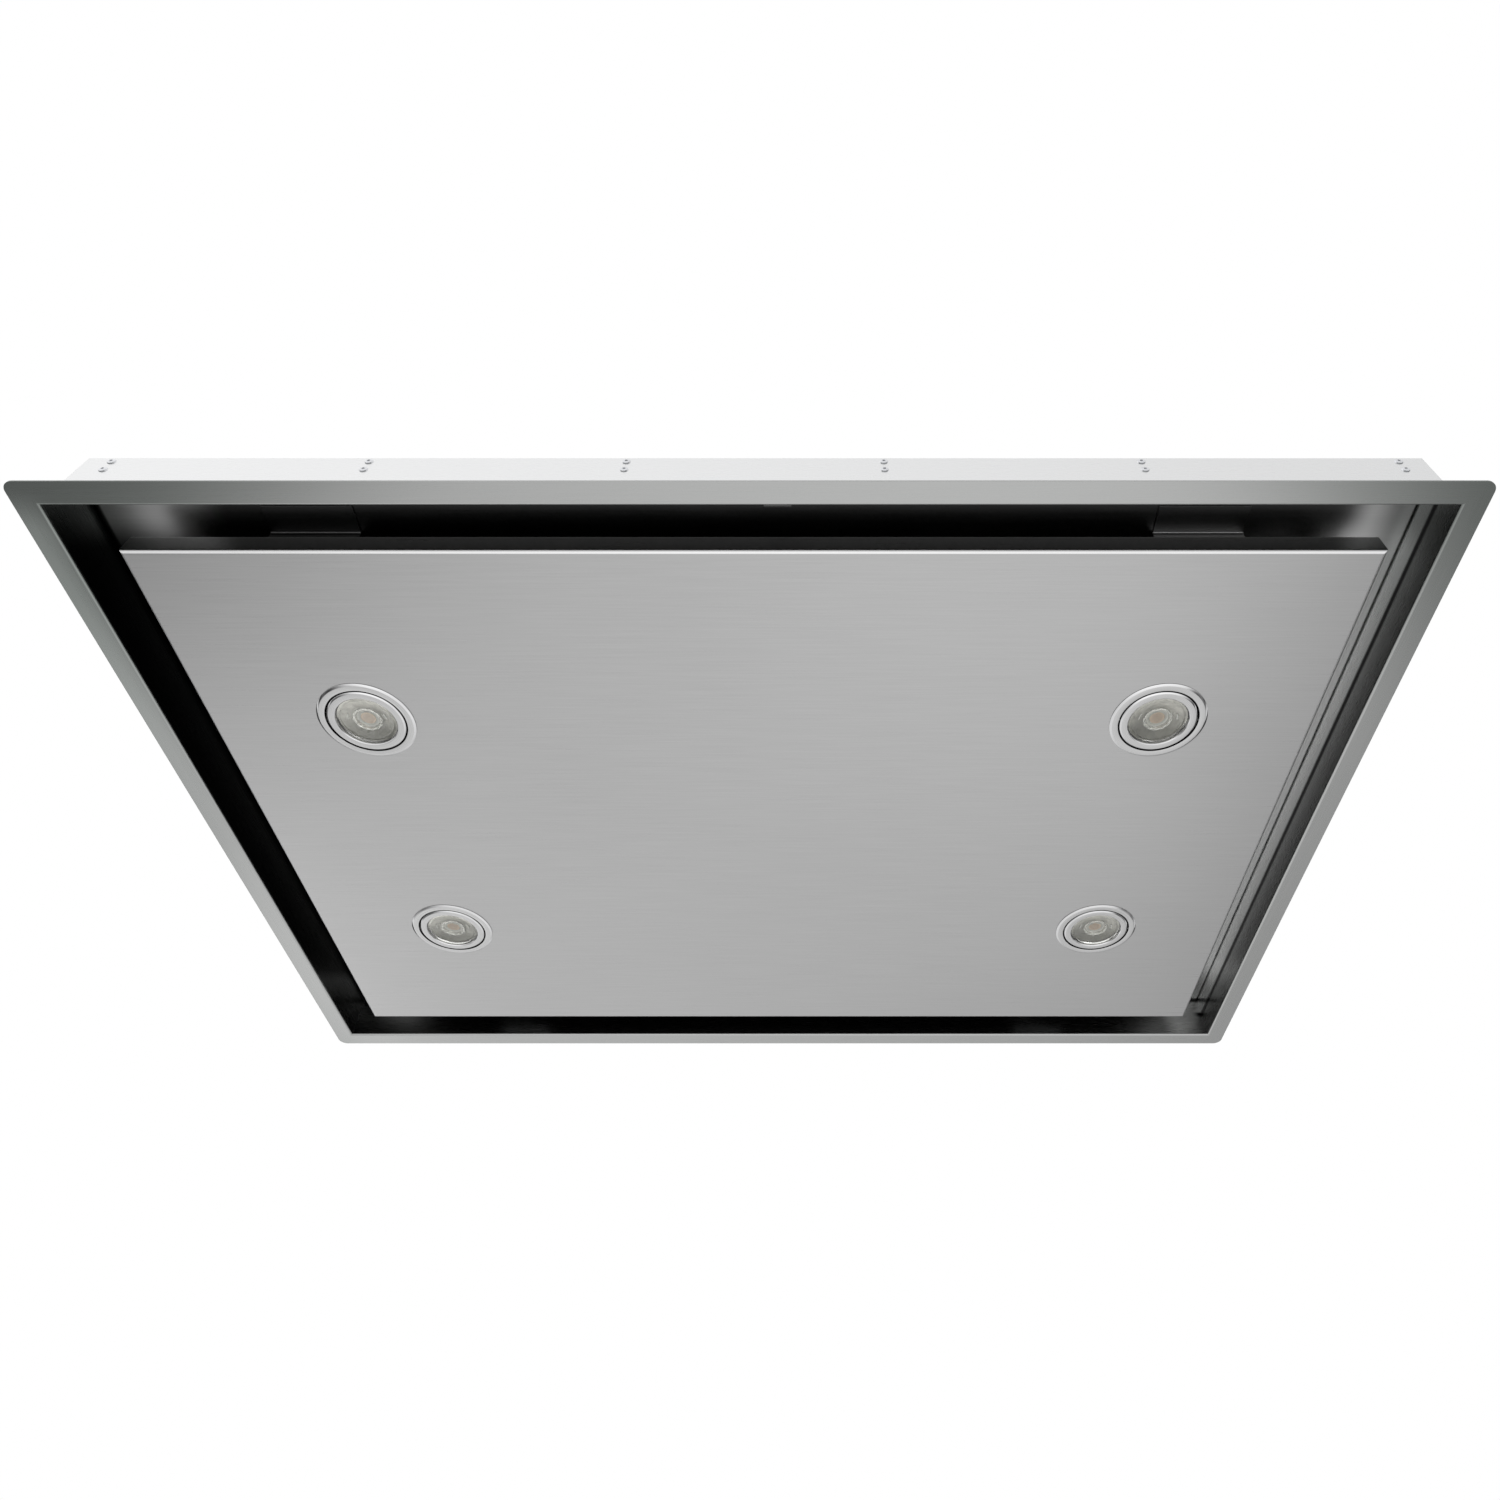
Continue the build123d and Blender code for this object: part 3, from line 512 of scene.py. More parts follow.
def turnedMetal(name, values, centres):
    # satin faces with fine lathe rings; polished bevels, painted a little paler as a painted
    # highlight; walls painted near black as painted shade
    material, tree, shader, place = newMaterial(name)
    flat = vectorCalc(tree, "MULTIPLY", place, (1.0, 1.0, 0.0))
    gaps = [vectorCalc(tree, "DISTANCE", flat, (*centre, 0.0)) for centre in centres]
    ringCount = times(tree, folded(tree, "MINIMUM", gaps), values["ringsPerMetre"])
    turns = {"W": ringCount, "Scale": 1.0, "Detail": 4.0}
    rings = addNode(tree, "ShaderNodeTexNoise", turns, noise_dimensions="1D")["Fac"]
    tone = ranged(tree, rings, *values["ringTone"])
    clouds = cloudsOf(tree, place, *values["clouds"])
    satin = tinted(tree, values["face"], [tone, clouds["Tone"]])
    level = calc(tree, "ABSOLUTE", facingUp(tree, place))
    onFace = ranged(tree, level, 0.0, 1.0, *values["faceLevel"])
    onBevel = ranged(tree, level, 0.0, 1.0, *values["bevelLevel"])
    edge = mixedColor(tree, onBevel, values["wall"], values["bevel"])
    grained = ranged(tree, rings, *values["roughness"])
    inputs = {
        "Base Color": mixedColor(tree, onFace, edge, satin),
        "Roughness": mixedValue(tree, onFace, values["bevelRoughness"], grained),
        "Normal": bumped(tree, rings, values["ringDepth"]),
        "Metallic": 1.0,
    }
    feed(tree, shader, inputs)
    return material


reflector = {
    # painted light: pale on each lamp's near side, dark on its far side, and where it changes
    "near": (0.80, 0.79, 0.75),
    "far": (0.155, 0.155, 0.13),
    "across": (-0.017, 0.012),
    "clouds": (0.006, 0.9),
    "roughness": (0.3, 0.45),
    "depth": 0.0002,
    "metallic": 0.3,
}


def lampReflector(name, values, centres):
    # evaporated aluminium, with painted light: pale on each lamp's near side and dark on its far
    # side
    material, tree, shader, place = newMaterial(name)
    y = axes(tree, place)[1]
    rows = sorted({round(centre[1], 6) for centre in centres})
    row = calc(tree, "GREATER_THAN", y, sum(rows) / 2)
    middle = calc(tree, "ADD", times(tree, row, rows[-1] - rows[0]), rows[0])
    beyond = calc(tree, "SUBTRACT", y, middle)
    far = ranged(tree, beyond, 0.0, 1.0, *values["across"])
    clouds = cloudsOf(tree, place, *values["clouds"])
    paintedLight = mixedColor(tree, far, values["near"], values["far"])
    color = scaled(tree, paintedLight, clouds["Tone"])
    finish(tree, shader, values, color, clouds["Mask"], Metallic=values["metallic"])
    return material


glass = {
    "color": (0.945, 0.945, 0.92),
    "ripple": (0.004, 0.06),
    "roughness": (0.02, 0.08),
    "depth": 0.00006,
    "index": 1.49,
}


def pressedGlass(name, values):
    material, tree, shader, place = newMaterial(name)
    ripple = cloudsOf(tree, place, *values["ripple"])
    color = tinted(tree, values["color"], [ripple["Tone"]])
    clear = {"Transmission Weight": 1.0, "IOR": values["index"]}
    finish(tree, shader, values, color, ripple["Mask"], **clear)
    return material


def numbered(name):
    return [f"{name}_{number}" for number in range(1, 5)]


def bothSides(*names):
    return [f"{name}_{side}" for name in names for side in ("left", "right")]


lampCentres = []
for node in numbered("lamp_lens"):
    low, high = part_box(node)
    lampCentres.append(((low.x + high.x) / 2, (low.y + high.y) / 2))

rivetShade = (0.26, 0.27, 0.28)
# name, colour, roughness, grain size and depth, then metallic, coat and the tone underneath
metals = {
    "cast": ("castAluminium", (0.42, 0.42, 0.43), 0.5, 0.0008, 0.00006, 1.0),
    "filter": ("filterAluminium", (0.66, 0.67, 0.68), 0.32, 0.0015, 0.00002, 1.0),
    "pin": ("drawnSteel", (0.52, 0.52, 0.53), 0.26, 0.002, 0.00001, 1.0),
    "rivet": ("rivetAluminium", (0.88, 0.89, 0.92), 0.32, 0.001, 0.00002, 1.0, 0.0, rivetShade),
    "darkScrew": ("blackenedSteel", (0.09, 0.09, 0.093), 0.34, 0.001, 0.00002, 1.0),
    "lacquer": ("motorLacquer", (0.022, 0.022, 0.024), 0.4, 0.0012, 0.00004, 0.0, 0.2),
    "optic": ("lampOptic", (0.78, 0.79, 0.76), 0.14, 0.0008, 0.00001, 0.6),
}
# name, colour and roughness, then depth and coat
plastics = {
    "ferrite": ("sinteredFerrite", (0.05, 0.05, 0.052), 0.62, 0.00006),
    "black": ("blackPlastic", (0.016, 0.016, 0.017), 0.42),
    "gloss": ("glossBlack", (0.006, 0.006, 0.007), 0.12, 0.000004, 0.6),
    "white": ("whitePlastic", (0.78, 0.78, 0.75), 0.38),
    "clip": ("clipPlastic", (0.92, 0.92, 0.9), 0.3),
    "mastic": ("mastic", (0.34, 0.34, 0.33), 0.55, 0.0001),
    "phosphor": ("phosphor", (0.78, 0.60, 0.44), 0.35, 0.00001, 0.4),
}
looks = {
    "panel": brushedSheet("panelSteel", panelSteel, panelBendHighlight),
    "flange": flangeSheet("flangeSteel", flangeSteel),
    "pan": brushedSheet("panSteel", panSteel),
    "zinc": zincSheet("zincSheet", zinc),
    "zincInside": zincSheet("zincInside", {**zinc, "crystal": 0.005, "dustAmount": 0.0}),
    "lampMetal": turnedMetal("satinNickel", lampMetal, lampCentres),
    "glass": pressedGlass("pressedGlass", glass),
    "reflector": lampReflector("lampReflector", reflector, lampCentres),
}
for look, (name, *values) in metals.items():
    looks[look] = plainFinish(name, metal, *values)
for look, values in plastics.items():
    looks[look] = mouldedPlastic(*values)

insideSheets = ("panel_rail", "hinge_fixed_leaf", "hinge_moving_leaf", "damper_flap")
nodeLooks = {
    "panel": ["suction_panel"],
    "flange": ["outer_frame"],
    "pan": ["recess_pan", *bothSides("catch_bracket")],
    "zinc": ["top_cover", "motor_box", "duct_collar", "control_box", *numbered("hanger_bracket")],
    "zincInside": ["strike_plates", "fan_scroll", "impeller", *bothSides(*insideSheets)],
    "pin": ["hinge_pins", "damper_pin", "motor_shaft"],
    "ferrite": ["catch_magnets"],
    "lacquer": ["fan_motor"],
    "white": ["led_driver", "run_capacitor"],
    "gloss": ["remote_receiver"],
    "black": ["mains_inlet", *bothSides("filter_latch")],
    "filter": bothSides("filter_frame"),
    "cast": numbered("lamp_housing"),
}
for look, names in nodeLooks.items():
    for name in names:
        nodes[name].data.materials.clear()
        nodes[name].data.materials.append(looks[look])
print("materials made:", len(looks))


# mesh helpers


def linked(name, data):
    made = bpy.data.objects.new(name, data)
    bpy.context.scene.collection.objects.link(made)
    return made


def plainMesh(name, points, faces=()):
    mesh = bpy.data.meshes.new(name)
    mesh.from_pydata(points, [], faces)
    return mesh


def newPiece(name, mesh, look, body, stoodFor=(), slot=None):
    piece = linked(name, mesh)
    if not mesh.materials:
        mesh.materials.append(looks[look])
    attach(piece, body)
    if stoodFor:
        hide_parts(*stoodFor)
    return piece


def smoothed(mesh, angle=35.0):
    mesh.shade_smooth()
    mesh.set_sharp_from_angle(angle=radians(angle))
    return mesh


def finishedPiece(name, work, look, body, stoodFor=(), slot=None, angle=35.0):
    bmesh.ops.remove_doubles(work, verts=work.verts, dist=1e-6)
    bmesh.ops.recalc_face_normals(work, faces=work.faces)
    mesh = bpy.data.meshes.new(name)
    work.to_mesh(mesh)
    work.free()
    return newPiece(name, smoothed(mesh, angle), look, body, stoodFor, slot)


def around(centre, radius, angle, height):
    return Vector((centre[0] + radius * cos(angle), centre[1] + radius * sin(angle), height))


def skinned(work, rings, closed=False, capped=True):
    # faces between neighbouring rings of points
    for first, second in zip(rings, rings[1:] + rings[:1] if closed else rings[1:]):
        for here in range(len(first)):
            after = (here + 1) % len(first)
            work.faces.new((first[here], second[here], second[after], first[after]))
    if capped and not closed:
        work.faces.new(rings[0])
        work.faces.new(reversed(rings[-1]))


def turned(work, profile, centre, steps, start=0.0, sweep=2 * pi):
    # closed outline of (radius, height) points, swept about a vertical axis through centre
    closed = sweep == 2 * pi
    rings = []
    for step in range(steps if closed else steps + 1):
        angle = start + sweep * step / steps
        rings.append(
            [work.verts.new(around(centre, radius, angle, height)) for radius, height in profile]
        )
    skinned(work, rings, closed)


def tube(work, path, radius, closed=False, sides=8):
    rings = []
    count = len(path)
    turns = [2 * pi * step / sides for step in range(sides)]
    for index, here in enumerate(path):
        before = path[index - 1] if closed or index else here
        after = path[(index + 1) % count] if closed or index < count - 1 else here
        side = (after - before).cross(Vector((0, 0, 1))).normalized() * radius
        up = Vector((0, 0, radius))
        rings.append([work.verts.new(here + side * cos(a) + up * sin(a)) for a in turns])
    skinned(work, rings, closed)


def rounded(points, radius, steps=3):
    # closed outline with each corner cut back by radius and rounded
    outline = []
    for index, corner in enumerate(points):
        here = Vector(corner)
        before = Vector(points[index - 1]) - here
        after = Vector(points[(index + 1) % len(points)]) - here
        cut = min(radius, before.length / 2.2, after.length / 2.2)
        first, last = here + before.normalized() * cut, here + after.normalized() * cut
        for step in range(steps + 1):
            share = step / steps
            bend = first * (1 - share) ** 2 + here * 2 * share * (1 - share) + last * share**2
            outline.append(tuple(bend))
    return outline


# spot lamps

lampTrim = {
    "bore": 32.3 * mm,
    "face": 37.0 * mm,
    "rim": 39.0 * mm,
    "bevelHeight": 0.9 * mm,
    "neck": 34.3 * mm,
    "edge": 0.25 * mm,
    "slotHalfAngle": 0.034,
    "slotRise": 2.5 * mm,
    "steps": 96,
    "smooth": 30,
}


def makeLampTrims():
    values = lampTrim
    low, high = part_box("lamp_trims")
    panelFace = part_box("suction_panel")[0].z
    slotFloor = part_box("lamp_ring_1")[0].z + values["slotRise"]
    bore, neck, rim = values["bore"], values["neck"], values["rim"]
    bezel = [
        (bore, low.z),
        (values["face"], low.z),
        (rim, low.z + values["bevelHeight"]),
        (rim, panelFace),
        (neck, panelFace),
        (neck, slotFloor),
        (bore, slotFloor),
    ]
    tongue = [(bore, slotFloor), (neck, slotFloor), (neck, high.z), (bore, high.z)]
    half = values["slotHalfAngle"]
    work = bmesh.new()
    for centre in lampCentres:
        turned(work, rounded(bezel, values["edge"]), centre, values["steps"])
        for start in (half, pi + half):
            turned(work, tongue, centre, values["steps"] // 2, start, pi - 2 * half)
    place = "panel", ["lamp_trims"], "satin_nickel", values["smooth"]
    finishedPiece("lampTrims", work, "lampMetal", *place)


lampRing = {
    "outer": 30.95 * mm,
    "bore": 24.1 * mm,
    "lipRadius": 24.8 * mm,
    "lipDepth": 0.8 * mm,
    "bevelWidth": 1.4 * mm,
    "bevelHeight": 0.8 * mm,
    "edge": 0.25 * mm,
    "pinRadius": 1.0 * mm,
    "pinRise": 3.6 * mm,
    "pinReach": 34.0 * mm,
    "pinRoot": 3.0 * mm,
    "pinSides": 20,
    "steps": 96,
    "smooth": 30,
}


def makeLampRing(number, centre):
    values = lampRing
    node = f"lamp_ring_{number}"
    low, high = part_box(node)
    profile = [
        (values["outer"], low.z + values["bevelHeight"]),
        (values["outer"] - values["bevelWidth"], low.z),
        (values["lipRadius"], low.z),
        (values["bore"], low.z + values["lipDepth"]),
        (values["bore"], high.z),
        (values["outer"], high.z),
    ]
    work = bmesh.new()
    turned(work, rounded(profile, values["edge"]), centre, values["steps"])
    inner = values["bore"] + values["pinRoot"]
    span = values["pinReach"] - inner
    for side in (-1, 1):
        at = (centre[0] + side * (inner + span / 2), centre[1], low.z + values["pinRise"])
        bmesh.ops.create_cone(
            work,
            cap_ends=True,
            segments=values["pinSides"],
            radius1=values["pinRadius"],
            radius2=values["pinRadius"],
            depth=span,
            matrix=Matrix.Translation(at) @ Matrix.Rotation(pi / 2, 4, "Y"),
        )
    place = f"lamp_{number}", [node], "satin_nickel", values["smooth"]
    finishedPiece(f"lampRing{number}", work, "lampMetal", *place)


lampGlass = {
    "radius": 24.0 * mm,
    "thickness": 1.7 * mm,
    "rimWidth": 2.6 * mm,
    "rimHeight": 0.7 * mm,
    "bowl": 0.8 * mm,
    "prisms": 12,
    "prismRing": 11.5 * mm,
    "prismWidth": 2.4 * mm,
    "prismHeight": 0.35 * mm,
    "rings": 48,
    "steps": 96,
    "smooth": 40,
}


def glassRelief(radius, angle):
    # height of the pressed front above its flat level, towards the room
    values = lampGlass
    edge = values["radius"] - values["rimWidth"]
    if radius > edge:
        return values["rimHeight"] * min(1.0, 3 * (radius - edge) / values["rimWidth"])
    height = -values["bowl"] * (1 - (radius / edge) ** 2) ** 2
    near = max(0.0, 1 - abs(radius - values["prismRing"]) / values["prismWidth"])
    return height + values["prismHeight"] * near * (0.5 + 0.5 * cos(values["prisms"] * angle))


def makeLampGlass(number, centre):
    values = lampGlass
    node = f"lamp_lens_{number}"
    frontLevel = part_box(node)[0].z + values["rimHeight"]
    backLevel = frontLevel + values["thickness"]
    work = bmesh.new()
    front, back = [], []
    turns = [2 * pi * step / values["steps"] for step in range(values["steps"])]
    for ring in range(1, values["rings"] + 1):
        radius = values["radius"] * ring / values["rings"]
        pairs = []
        for turn in turns:
            levels = (frontLevel - glassRelief(radius, turn), backLevel)
            pairs.append([work.verts.new(around(centre, radius, turn, z)) for z in levels])
        front.append([pair[0] for pair in pairs])
        back.append([pair[1] for pair in pairs])
    skinned(work, front + back[::-1], capped=False)
    for surface, level in ((front, frontLevel - glassRelief(0.0, 0.0)), (back, backLevel)):
        pole = work.verts.new((*centre, level))
        for here, after in zip(surface[0], surface[0][1:] + surface[0][:1]):
            work.faces.new((pole, here, after))
    place = f"lamp_{number}", [node], "lens_glass", values["smooth"]
    finishedPiece(f"lampGlass{number}", work, "glass", *place)


lampOptic = {
    "cupRadius": 23.6 * mm,
    "cupLip": 20.8 * mm,
    "cupFloor": 12.4 * mm,
    "cupGap": 0.15 * mm,
    "flutes": 40,
    "fluteSmooth": 3,
    "floorThickness": 0.6 * mm,
    "collarRadius": 10.9 * mm,
    "collarWave": 0.55 * mm,
    "collarWire": 0.38 * mm,
    "collarDepth": 2.3 * mm,
    "collarWall": 0.5 * mm,
    "collarInset": 0.2 * mm,
    "collarTaper": 0.7 * mm,
    "lobes": 12,
    "lobeSteps": 10,
    "domeRadius": 8.6 * mm,
    "domeHeight": 0.6 * mm,
    "domeSteps": 8,
    "chipRadius": 6.2 * mm,
    "chipHeight": 0.5 * mm,
    "chipEdge": (0.3 * mm, 0.2 * mm),
    "baseRadius": 9.4 * mm,
    "baseHeight": 0.25 * mm,
    "clipRing": 15.6 * mm,
    "clipSpan": 0.36,
    "clipWire": 0.6 * mm,
    "clipSteps": 6,
    "clipAngles": (radians(-12), radians(192)),
    "steps": 48,
    "chipSteps": 40,
}


def makeLampOptic(number, centre):
    # behind the glass: a fluted cup, the optic's scalloped collar, two clips, dome, base, chip
    values = lampOptic
    low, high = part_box(f"lamp_lens_{number}")
    front = low.z + lampGlass["rimHeight"] + lampGlass["thickness"] + values["cupGap"]
    floor = high.z - values["floorThickness"]
    level = floor - values["collarDepth"]
    body = f"lamp_{number}"

    def lathe(name, look, profile, steps, angle=35.0):
        work = bmesh.new()
        turned(work, profile, centre, steps)
        finishedPiece(f"{name}{number}", work, look, body, angle=angle)

    lip, radius = values["cupLip"], values["cupRadius"]
    cup = [(values["cupFloor"], floor), (lip, front), (radius, front), (radius, high.z)]
    cup = [(0.0, floor), *cup, (0.0, high.z)]
    lathe("lampCup", "reflector", cup, values["flutes"], values["fluteSmooth"])

    work = bmesh.new()
    steps = values["lobes"] * values["lobeSteps"]
    path = []
    for step in range(steps):
        angle = 2 * pi * step / steps
        wave = values["collarWave"] * abs(cos(angle * values["lobes"] / 2))
        path.append(around(centre, values["collarRadius"] + wave, angle, level))
    tube(work, path, values["collarWire"], True)
    skirt, wall = values["collarRadius"] - values["collarInset"], values["collarWall"]
    foot = skirt - values["collarTaper"]
    band = [(skirt, level), (skirt - wall, level), (foot - wall, floor), (foot, floor)]
    turned(work, band, centre, values["steps"])
    finishedPiece(f"lampCollar{number}", work, "optic", body)

    # each clip is a short bar that follows the collar
    work = bmesh.new()
    bar = values["clipSteps"]
    for angle in values["clipAngles"]:
        arm = [angle + values["clipSpan"] * (step / bar - 0.5) for step in range(bar + 1)]
        path = [around(centre, values["clipRing"], turn, level) for turn in arm]
        tube(work, path, values["clipWire"])
    finishedPiece(f"lampClips{number}", work, "clip", body)

    dome = [(0.0, floor)]
    for step in range(values["domeSteps"] + 1):
        angle = pi / 2 * step / values["domeSteps"]
        dome.append((values["domeRadius"] * sin(angle), floor - values["domeHeight"] * cos(angle)))
    lathe("lampDome", "glass", dome, values["steps"])
    face, radius = floor - values["baseHeight"], values["baseRadius"]
    base = [(0.0, face), (radius, face), (radius, floor), (0.0, floor)]
    lathe("lampBase", "white", base, values["chipSteps"])
    face, radius = floor - values["chipHeight"], values["chipRadius"]
    across, down = values["chipEdge"]
    chip = [(radius - across, face), (radius, floor - down), (radius, floor)]
    lathe("lampChip", "phosphor", [(0.0, face), *chip, (0.0, floor)], values["chipSteps"])


makeLampTrims()
for number, centre in enumerate(lampCentres, start=1):
    makeLampRing(number, centre)
    makeLampGlass(number, centre)
    makeLampOptic(number, centre)
print("spot lamps made")


# geometry node helpers


def newShapeTree(name, inputs):
    tree = bpy.data.node_groups.new(name, "GeometryNodeTree")
    tree.interface.new_socket("Geometry", in_out="INPUT", socket_type="NodeSocketGeometry")
    declare(tree, "INPUT", inputs)
    tree.interface.new_socket("Geometry", in_out="OUTPUT", socket_type="NodeSocketGeometry")
    return tree, tree.nodes.new("NodeGroupInput").outputs, tree.nodes.new("NodeGroupOutput")


def shapedBy(tree, name, start, values):
    # runs a tree on a mesh and gives back the plain mesh
    holder = linked(name, start)
    modifier = holder.modifiers.new(tree.name, "NODES")
    modifier.node_group = tree
    for item in tree.interface.items_tree:
        if item.in_out == "INPUT" and item.name in values:
            modifier[item.identifier] = values[item.name]
    shown = holder.evaluated_get(bpy.context.evaluated_depsgraph_get())
    mesh = bpy.data.meshes.new_from_object(shown)
    mesh.name = name
    bpy.data.objects.remove(holder)
    return mesh


def closeTree(tree, out, points, shape, look, rotation=None):
    # sets the shape on each point, makes it real and paints it
    values = {"Points": points, "Instance": shape}
    if rotation is not None:
        values["Rotation"] = rotation
    spread = addNode(tree, "GeometryNodeInstanceOnPoints", values)[0]
    real = addNode(tree, "GeometryNodeRealizeInstances", {0: spread})[0]
    paint = {"Geometry": real, "Material": looks[look]}
    feed(tree, out, {0: addNode(tree, "GeometryNodeSetMaterial", paint)[0]})


# fasteners: one kind of head, set on points that carry the way each head faces

wallRivet = {
    "Washer Radius": 3.2 * mm,
    "Washer Height": 0.35 * mm,
    "Head Radius": 3.0 * mm,
    "Head Height": 1.05 * mm,
    "Sides": 20,
    "Crown": 0.62,
    "Recess": 0.62,
    "Recess Depth": 0.6 * mm,
}
roofScrew = {
    "Washer Radius": 4.6 * mm,
    "Washer Height": 0.7 * mm,
    "Head Radius": 3.6 * mm,
    "Head Height": 2.4 * mm,
    "Sides": 6,
    "Crown": 0.86,
    "Recess": 0.6,
    "Recess Depth": 0.3 * mm,
}
panScrew = {
    "Washer Radius": 2.9 * mm,
    "Washer Height": 0.3 * mm,
    "Head Radius": 2.8 * mm,
    "Head Height": 1.1 * mm,
    "Sides": 18,
    "Crown": 0.7,
    "Recess": 0.5,
    "Recess Depth": 0.5 * mm,
}
headShape = {
    "washerSides": 24,
    "washerEdge": 0.94,
    "skirt": (0.6, 0.95),
    "dome": 0.4,
    "rim": 0.02,
    "screwSmooth": 25,
}


def makeHeadTree(name, look):
    tree, setting, out = newShapeTree(name, wallRivet)

    def disc(sides, radius):
        values = {"Vertices": sides, "Radius": radius}
        return addNode(tree, "GeometryNodeMeshCircle", values, fill_type="NGON")[0]

    def raised(shape, lift, top=None):
        up = addNode(tree, "ShaderNodeCombineXYZ", {2: lift})[0]
        values = {"Mesh": shape, "Offset": up, "Offset Scale": 1.0, "Individual": False}
        if top is not None:
            values["Selection"] = top
        block = addNode(tree, "GeometryNodeExtrudeMesh", values)
        return block["Mesh"], block["Top"]

    def narrowed(shape, top, share):
        values = {"Geometry": shape, "Selection": top, "Scale": share}
        return addNode(tree, "GeometryNodeScaleElements", values)[0]

    washer = disc(headShape["washerSides"], setting["Washer Radius"])
    washer = narrowed(*raised(washer, setting["Washer Height"]), headShape["washerEdge"])
    head, top = disc(setting["Sides"], setting["Head Radius"]), None
    dome, rim = (headShape["dome"], setting["Crown"]), (headShape["rim"], setting["Recess"])
    for lift, share in (headShape["skirt"], dome, rim):
        head, top = raised(head, times(tree, setting["Head Height"], lift), top)
        head = narrowed(head, top, share)
    head, top = raised(head, times(tree, setting["Recess Depth"], -1.0), top)
    both = addNode(tree, "GeometryNodeJoinGeometry")[0]
    for shape in (washer, head):
        feed(tree, both.node, {0: shape})
    kind = "GeometryNodeInputNamedAttribute"
    facing = addNode(tree, kind, {"Name": "facing"}, data_type="FLOAT_VECTOR")[0]
    aim = addNode(tree, "FunctionNodeAlignRotationToVector", {"Vector": facing}, axis="Z")[0]
    closeTree(tree, out, setting["Geometry"], both, look, aim)
    return tree


def headedPiece(name, tree, places, sizes, angle, look, *stoodFor):
    points = plainMesh(name, [place for place, _ in places])
    facing = points.attributes.new("facing", "FLOAT_VECTOR", "POINT")
    for item, (_, way) in zip(facing.data, places):
        item.vector = way
    mesh = smoothed(shapedBy(tree, name, points, sizes), angle)
    newPiece(name, mesh, look, "casing", *stoodFor)


def along(start, end, count):
    return [start + (end - start) * step / (count - 1) for step in range(count)]


def inset(low, high, gap):
    return low + gap, high - gap


rivetRows = {
    "endInset": 19.0 * mm,
    "pairsLong": 6,
    "pairsShort": 4,
    "proud": 1.1 * mm,
    "smooth": 35,
    "headRadius": 3.2 * mm * cos(pi / 8),  # across the flats of the CAD's eight-sided head
}


def makeWallRivets(tree):
    low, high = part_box("wall_rivets")
    reachX, reachY = high.x - rivetRows["proud"], high.y - rivetRows["proud"]
    endX, endY = reachX - rivetRows["endInset"], reachY - rivetRows["endInset"]
    places = []
    for level in inset(low.z, high.z, rivetRows["headRadius"]):
        for x in along(-endX, endX, rivetRows["pairsLong"]):
            places += [((x, side * reachY, level), (0, side, 0)) for side in (-1, 1)]
        for y in along(-endY, endY, rivetRows["pairsShort"]):
            places += [((side * reachX, y, level), (side, 0, 0)) for side in (-1, 1)]
    stoodFor = ["wall_rivets"], "rivet_aluminium"
    headedPiece("wallRivets", tree, places, wallRivet, rivetRows["smooth"], "rivet", *stoodFor)


roofScrews = {
    "boxFoot": 1.0 * mm,
    "boxInset": 7.0 * mm,
    "boxCounts": (5, 4),
    "collarFoot": 1.5 * mm,
    "collarInset": 8.0 * mm,
    "hangerFoot": 2.5 * mm,
    "hangerInset": 10.0 * mm,
    "hangerHalfSpan": 11.0 * mm,
}
panScrews = {
    "boxInset": 25.0 * mm,
    "leafInset": (6.0 * mm, 7.0 * mm),
    "leafThickness": 1.5 * mm,
}


def makeRoofScrews(tree):
    values = roofScrews
    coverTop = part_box("top_cover")[1].z
    low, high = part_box("motor_box")
    xs, ys = (inset(low[axis], high[axis], values["boxInset"]) for axis in (0, 1))
    countX, countY = values["boxCounts"]
    level = coverTop + values["boxFoot"]
    spots = [(x, y, level) for x in along(*xs, countX) for y in ys]
    spots += [(x, y, level) for y in along(*ys, countY)[1:-1] for x in xs]
    low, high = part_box("duct_collar")
    xs, ys = (inset(low[axis], high[axis], values["collarInset"]) for axis in (0, 1))
    spots += [(x, y, low.z + values["collarFoot"]) for x in xs for y in ys]
    for node in numbered("hanger_bracket"):
        low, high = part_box(node)
        gap = values["hangerInset"]
        inner = low.y + gap if low.y + high.y > 0 else high.y - gap
        middle, level = (low.x + high.x) / 2, coverTop + values["hangerFoot"]
        spots += [(middle + side * values["hangerHalfSpan"], inner, level) for side in (-1, 1)]
    places = [(spot, (0, 0, 1)) for spot in spots]
    headedPiece("roofScrews", tree, places, roofScrew, headShape["screwSmooth"], "darkScrew")


def makePanScrews(tree):
    # small screws: control box sides and hinge leaves under the pan
    low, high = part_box("control_box")
    middle = (low.z + high.z) / 2
    places = [
        ((x, side, middle), (0, way, 0))
        for x in inset(low.x, high.x, panScrews["boxInset"])
        for side, way in ((low.y, -1), (high.y, 1))
    ]
    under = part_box("recess_pan")[0].z - panScrews["leafThickness"]
    gapX, gapY = panScrews["leafInset"]
    for node in bothSides("hinge_fixed_leaf"):
        low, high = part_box(node)
        places += [((x, low.y + gapY, under), (0, 0, -1)) for x in inset(low.x, high.x, gapX)]
    headedPiece("panScrews", tree, places, panScrew, headShape["screwSmooth"], "darkScrew")


cornerSeam = {
    "flange": {"motor_box": 14.0 * mm, "control_box": 0.0},
    "inset": 1.5 * mm,
    "radius": 1.2 * mm,
    "foot": 1.0 * mm,
    "top": 2.0 * mm,
    "steps": 12,
}


